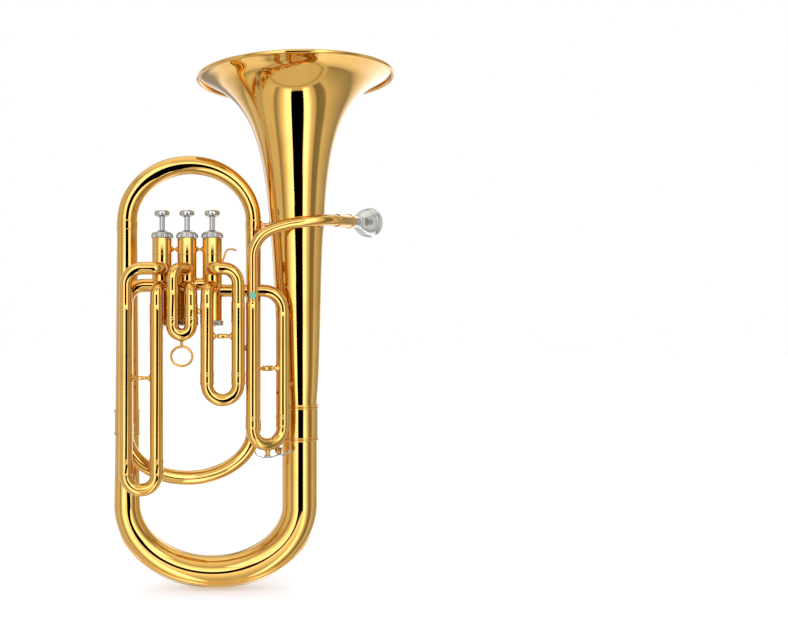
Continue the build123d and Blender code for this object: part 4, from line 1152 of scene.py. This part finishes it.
def studio(world):
    """Soft white tent: upright panels round the horn with dark gaps between them."""
    world.use_nodes = True
    tree = world.node_tree
    tree.nodes.clear()
    link = tree.links.new
    coords = node(tree, "ShaderNodeTexCoord").outputs["Generated"]
    split = node(tree, "ShaderNodeSeparateXYZ")
    link(coords, split.inputs[0])
    flip = node(tree, "ShaderNodeMath", operation="MULTIPLY")
    flip.inputs[1].default_value = -1.0
    link(split.outputs["Y"], flip.inputs[0])
    turn = node(tree, "ShaderNodeMath", operation="ARCTAN2")
    link(split.outputs["X"], turn.inputs[0])
    link(flip.outputs[0], turn.inputs[1])
    around = spread(tree, turn.outputs[0], 0.0, 1.0, -math.pi, math.pi)

    def at(degrees):
        return 0.5 + degrees / 360.0
    bands = [(-180, 0.31), (-170, 0.30), (-166, 0.13), (-160, 0.15), (-155, 0.48), (-140, 0.34),
             (-130, 0.18), (-123, 0.34), (-92, 0.24), (-86, 0.34),
             (-64, 0.35), (-58, 0.14), (-52, 0.22), (-45, 0.36), (-38, 0.5), (-30, 0.80), (-14, 0.90),
             (-11.5, 0.0), (19, 0.0), (21.5, 1.0), (33, 0.85), (41, 0.42), (50, 0.30), (55, 0.11),
             (73, 0.13), (80, 0.34), (126, 0.15), (134, 0.34), (153, 0.60), (163, 0.62), (168, 0.26),
             (180, 0.31)]
    panels = ramp(tree, around, [(at(a), lamp(v)) for a, v in bands])
    height = spread(tree, split.outputs["Z"], 0.0, 1.0, -1.0, 1.0)
    column = ramp(tree, height, [(at_height(e), lamp(v)) for e, v in (
        (-90, 0.31), (-44, 0.30), (-30, 0.40), (-8, 0.66), (-4.5, 0.0), (9, 0.0), (11, 0.95), (24, 0.8),
        (36, 0.36), (56, 0.30), (90, 0.32))])
    inside = ramp(tree, around, [(at(a), (v, v, v)) for a, v in (
        (-13, 0.0), (-11.5, 1.0), (19, 1.0), (20.5, 0.0))])
    front = node(tree, "ShaderNodeMix", data_type="RGBA")
    link(inside, front.inputs["Factor"])
    link(panels, front.inputs["A"])
    link(column, front.inputs["B"])
    rise = ramp(tree, height, [(at_height(e), (v, v, v)) for e, v in (
        (-90, 0.0), (-66, 0.0), (-63, 1.0), (38, 1.0), (44, 0.0), (90, 0.0))])
    wash = ramp(tree, height, [(at_height(e), (v, v, v)) for e, v in (
        (-90, 0.34), (-71, 0.34), (-68.5, 0.20), (-67, 0.34), (38, 0.34), (42, 0.18), (48, 0.35),
        (90, 0.5))])
    mix = node(tree, "ShaderNodeMix", data_type="RGBA")
    link(rise, mix.inputs["Factor"])
    link(wash, mix.inputs["A"])
    link(front.outputs["Result"], mix.inputs["B"])
    light = node(tree, "ShaderNodeBackground")
    put(light, {"Strength": 2.8})
    link(mix.outputs["Result"], light.inputs["Color"])
    out = node(tree, "ShaderNodeOutputWorld")
    link(light.outputs[0], out.inputs["Surface"])


world = bpy.data.worlds.new("studio")
bpy.context.scene.world = world
studio(world)
bpy.context.scene.view_settings.view_transform = "Standard"

camera_data = bpy.data.cameras.new("camera")
camera = bpy.data.objects.new("camera", camera_data)
bpy.context.scene.collection.objects.link(camera)
camera.location = (0.0021, -1.067, 0.3173)
camera.rotation_euler = (math.radians(90), 0, 0)
camera_data.sensor_width = 36.0
camera_data.lens = 41.9
camera_data.shift_x = 0.175
camera_data.clip_end = 50.0
bpy.context.scene.camera = camera
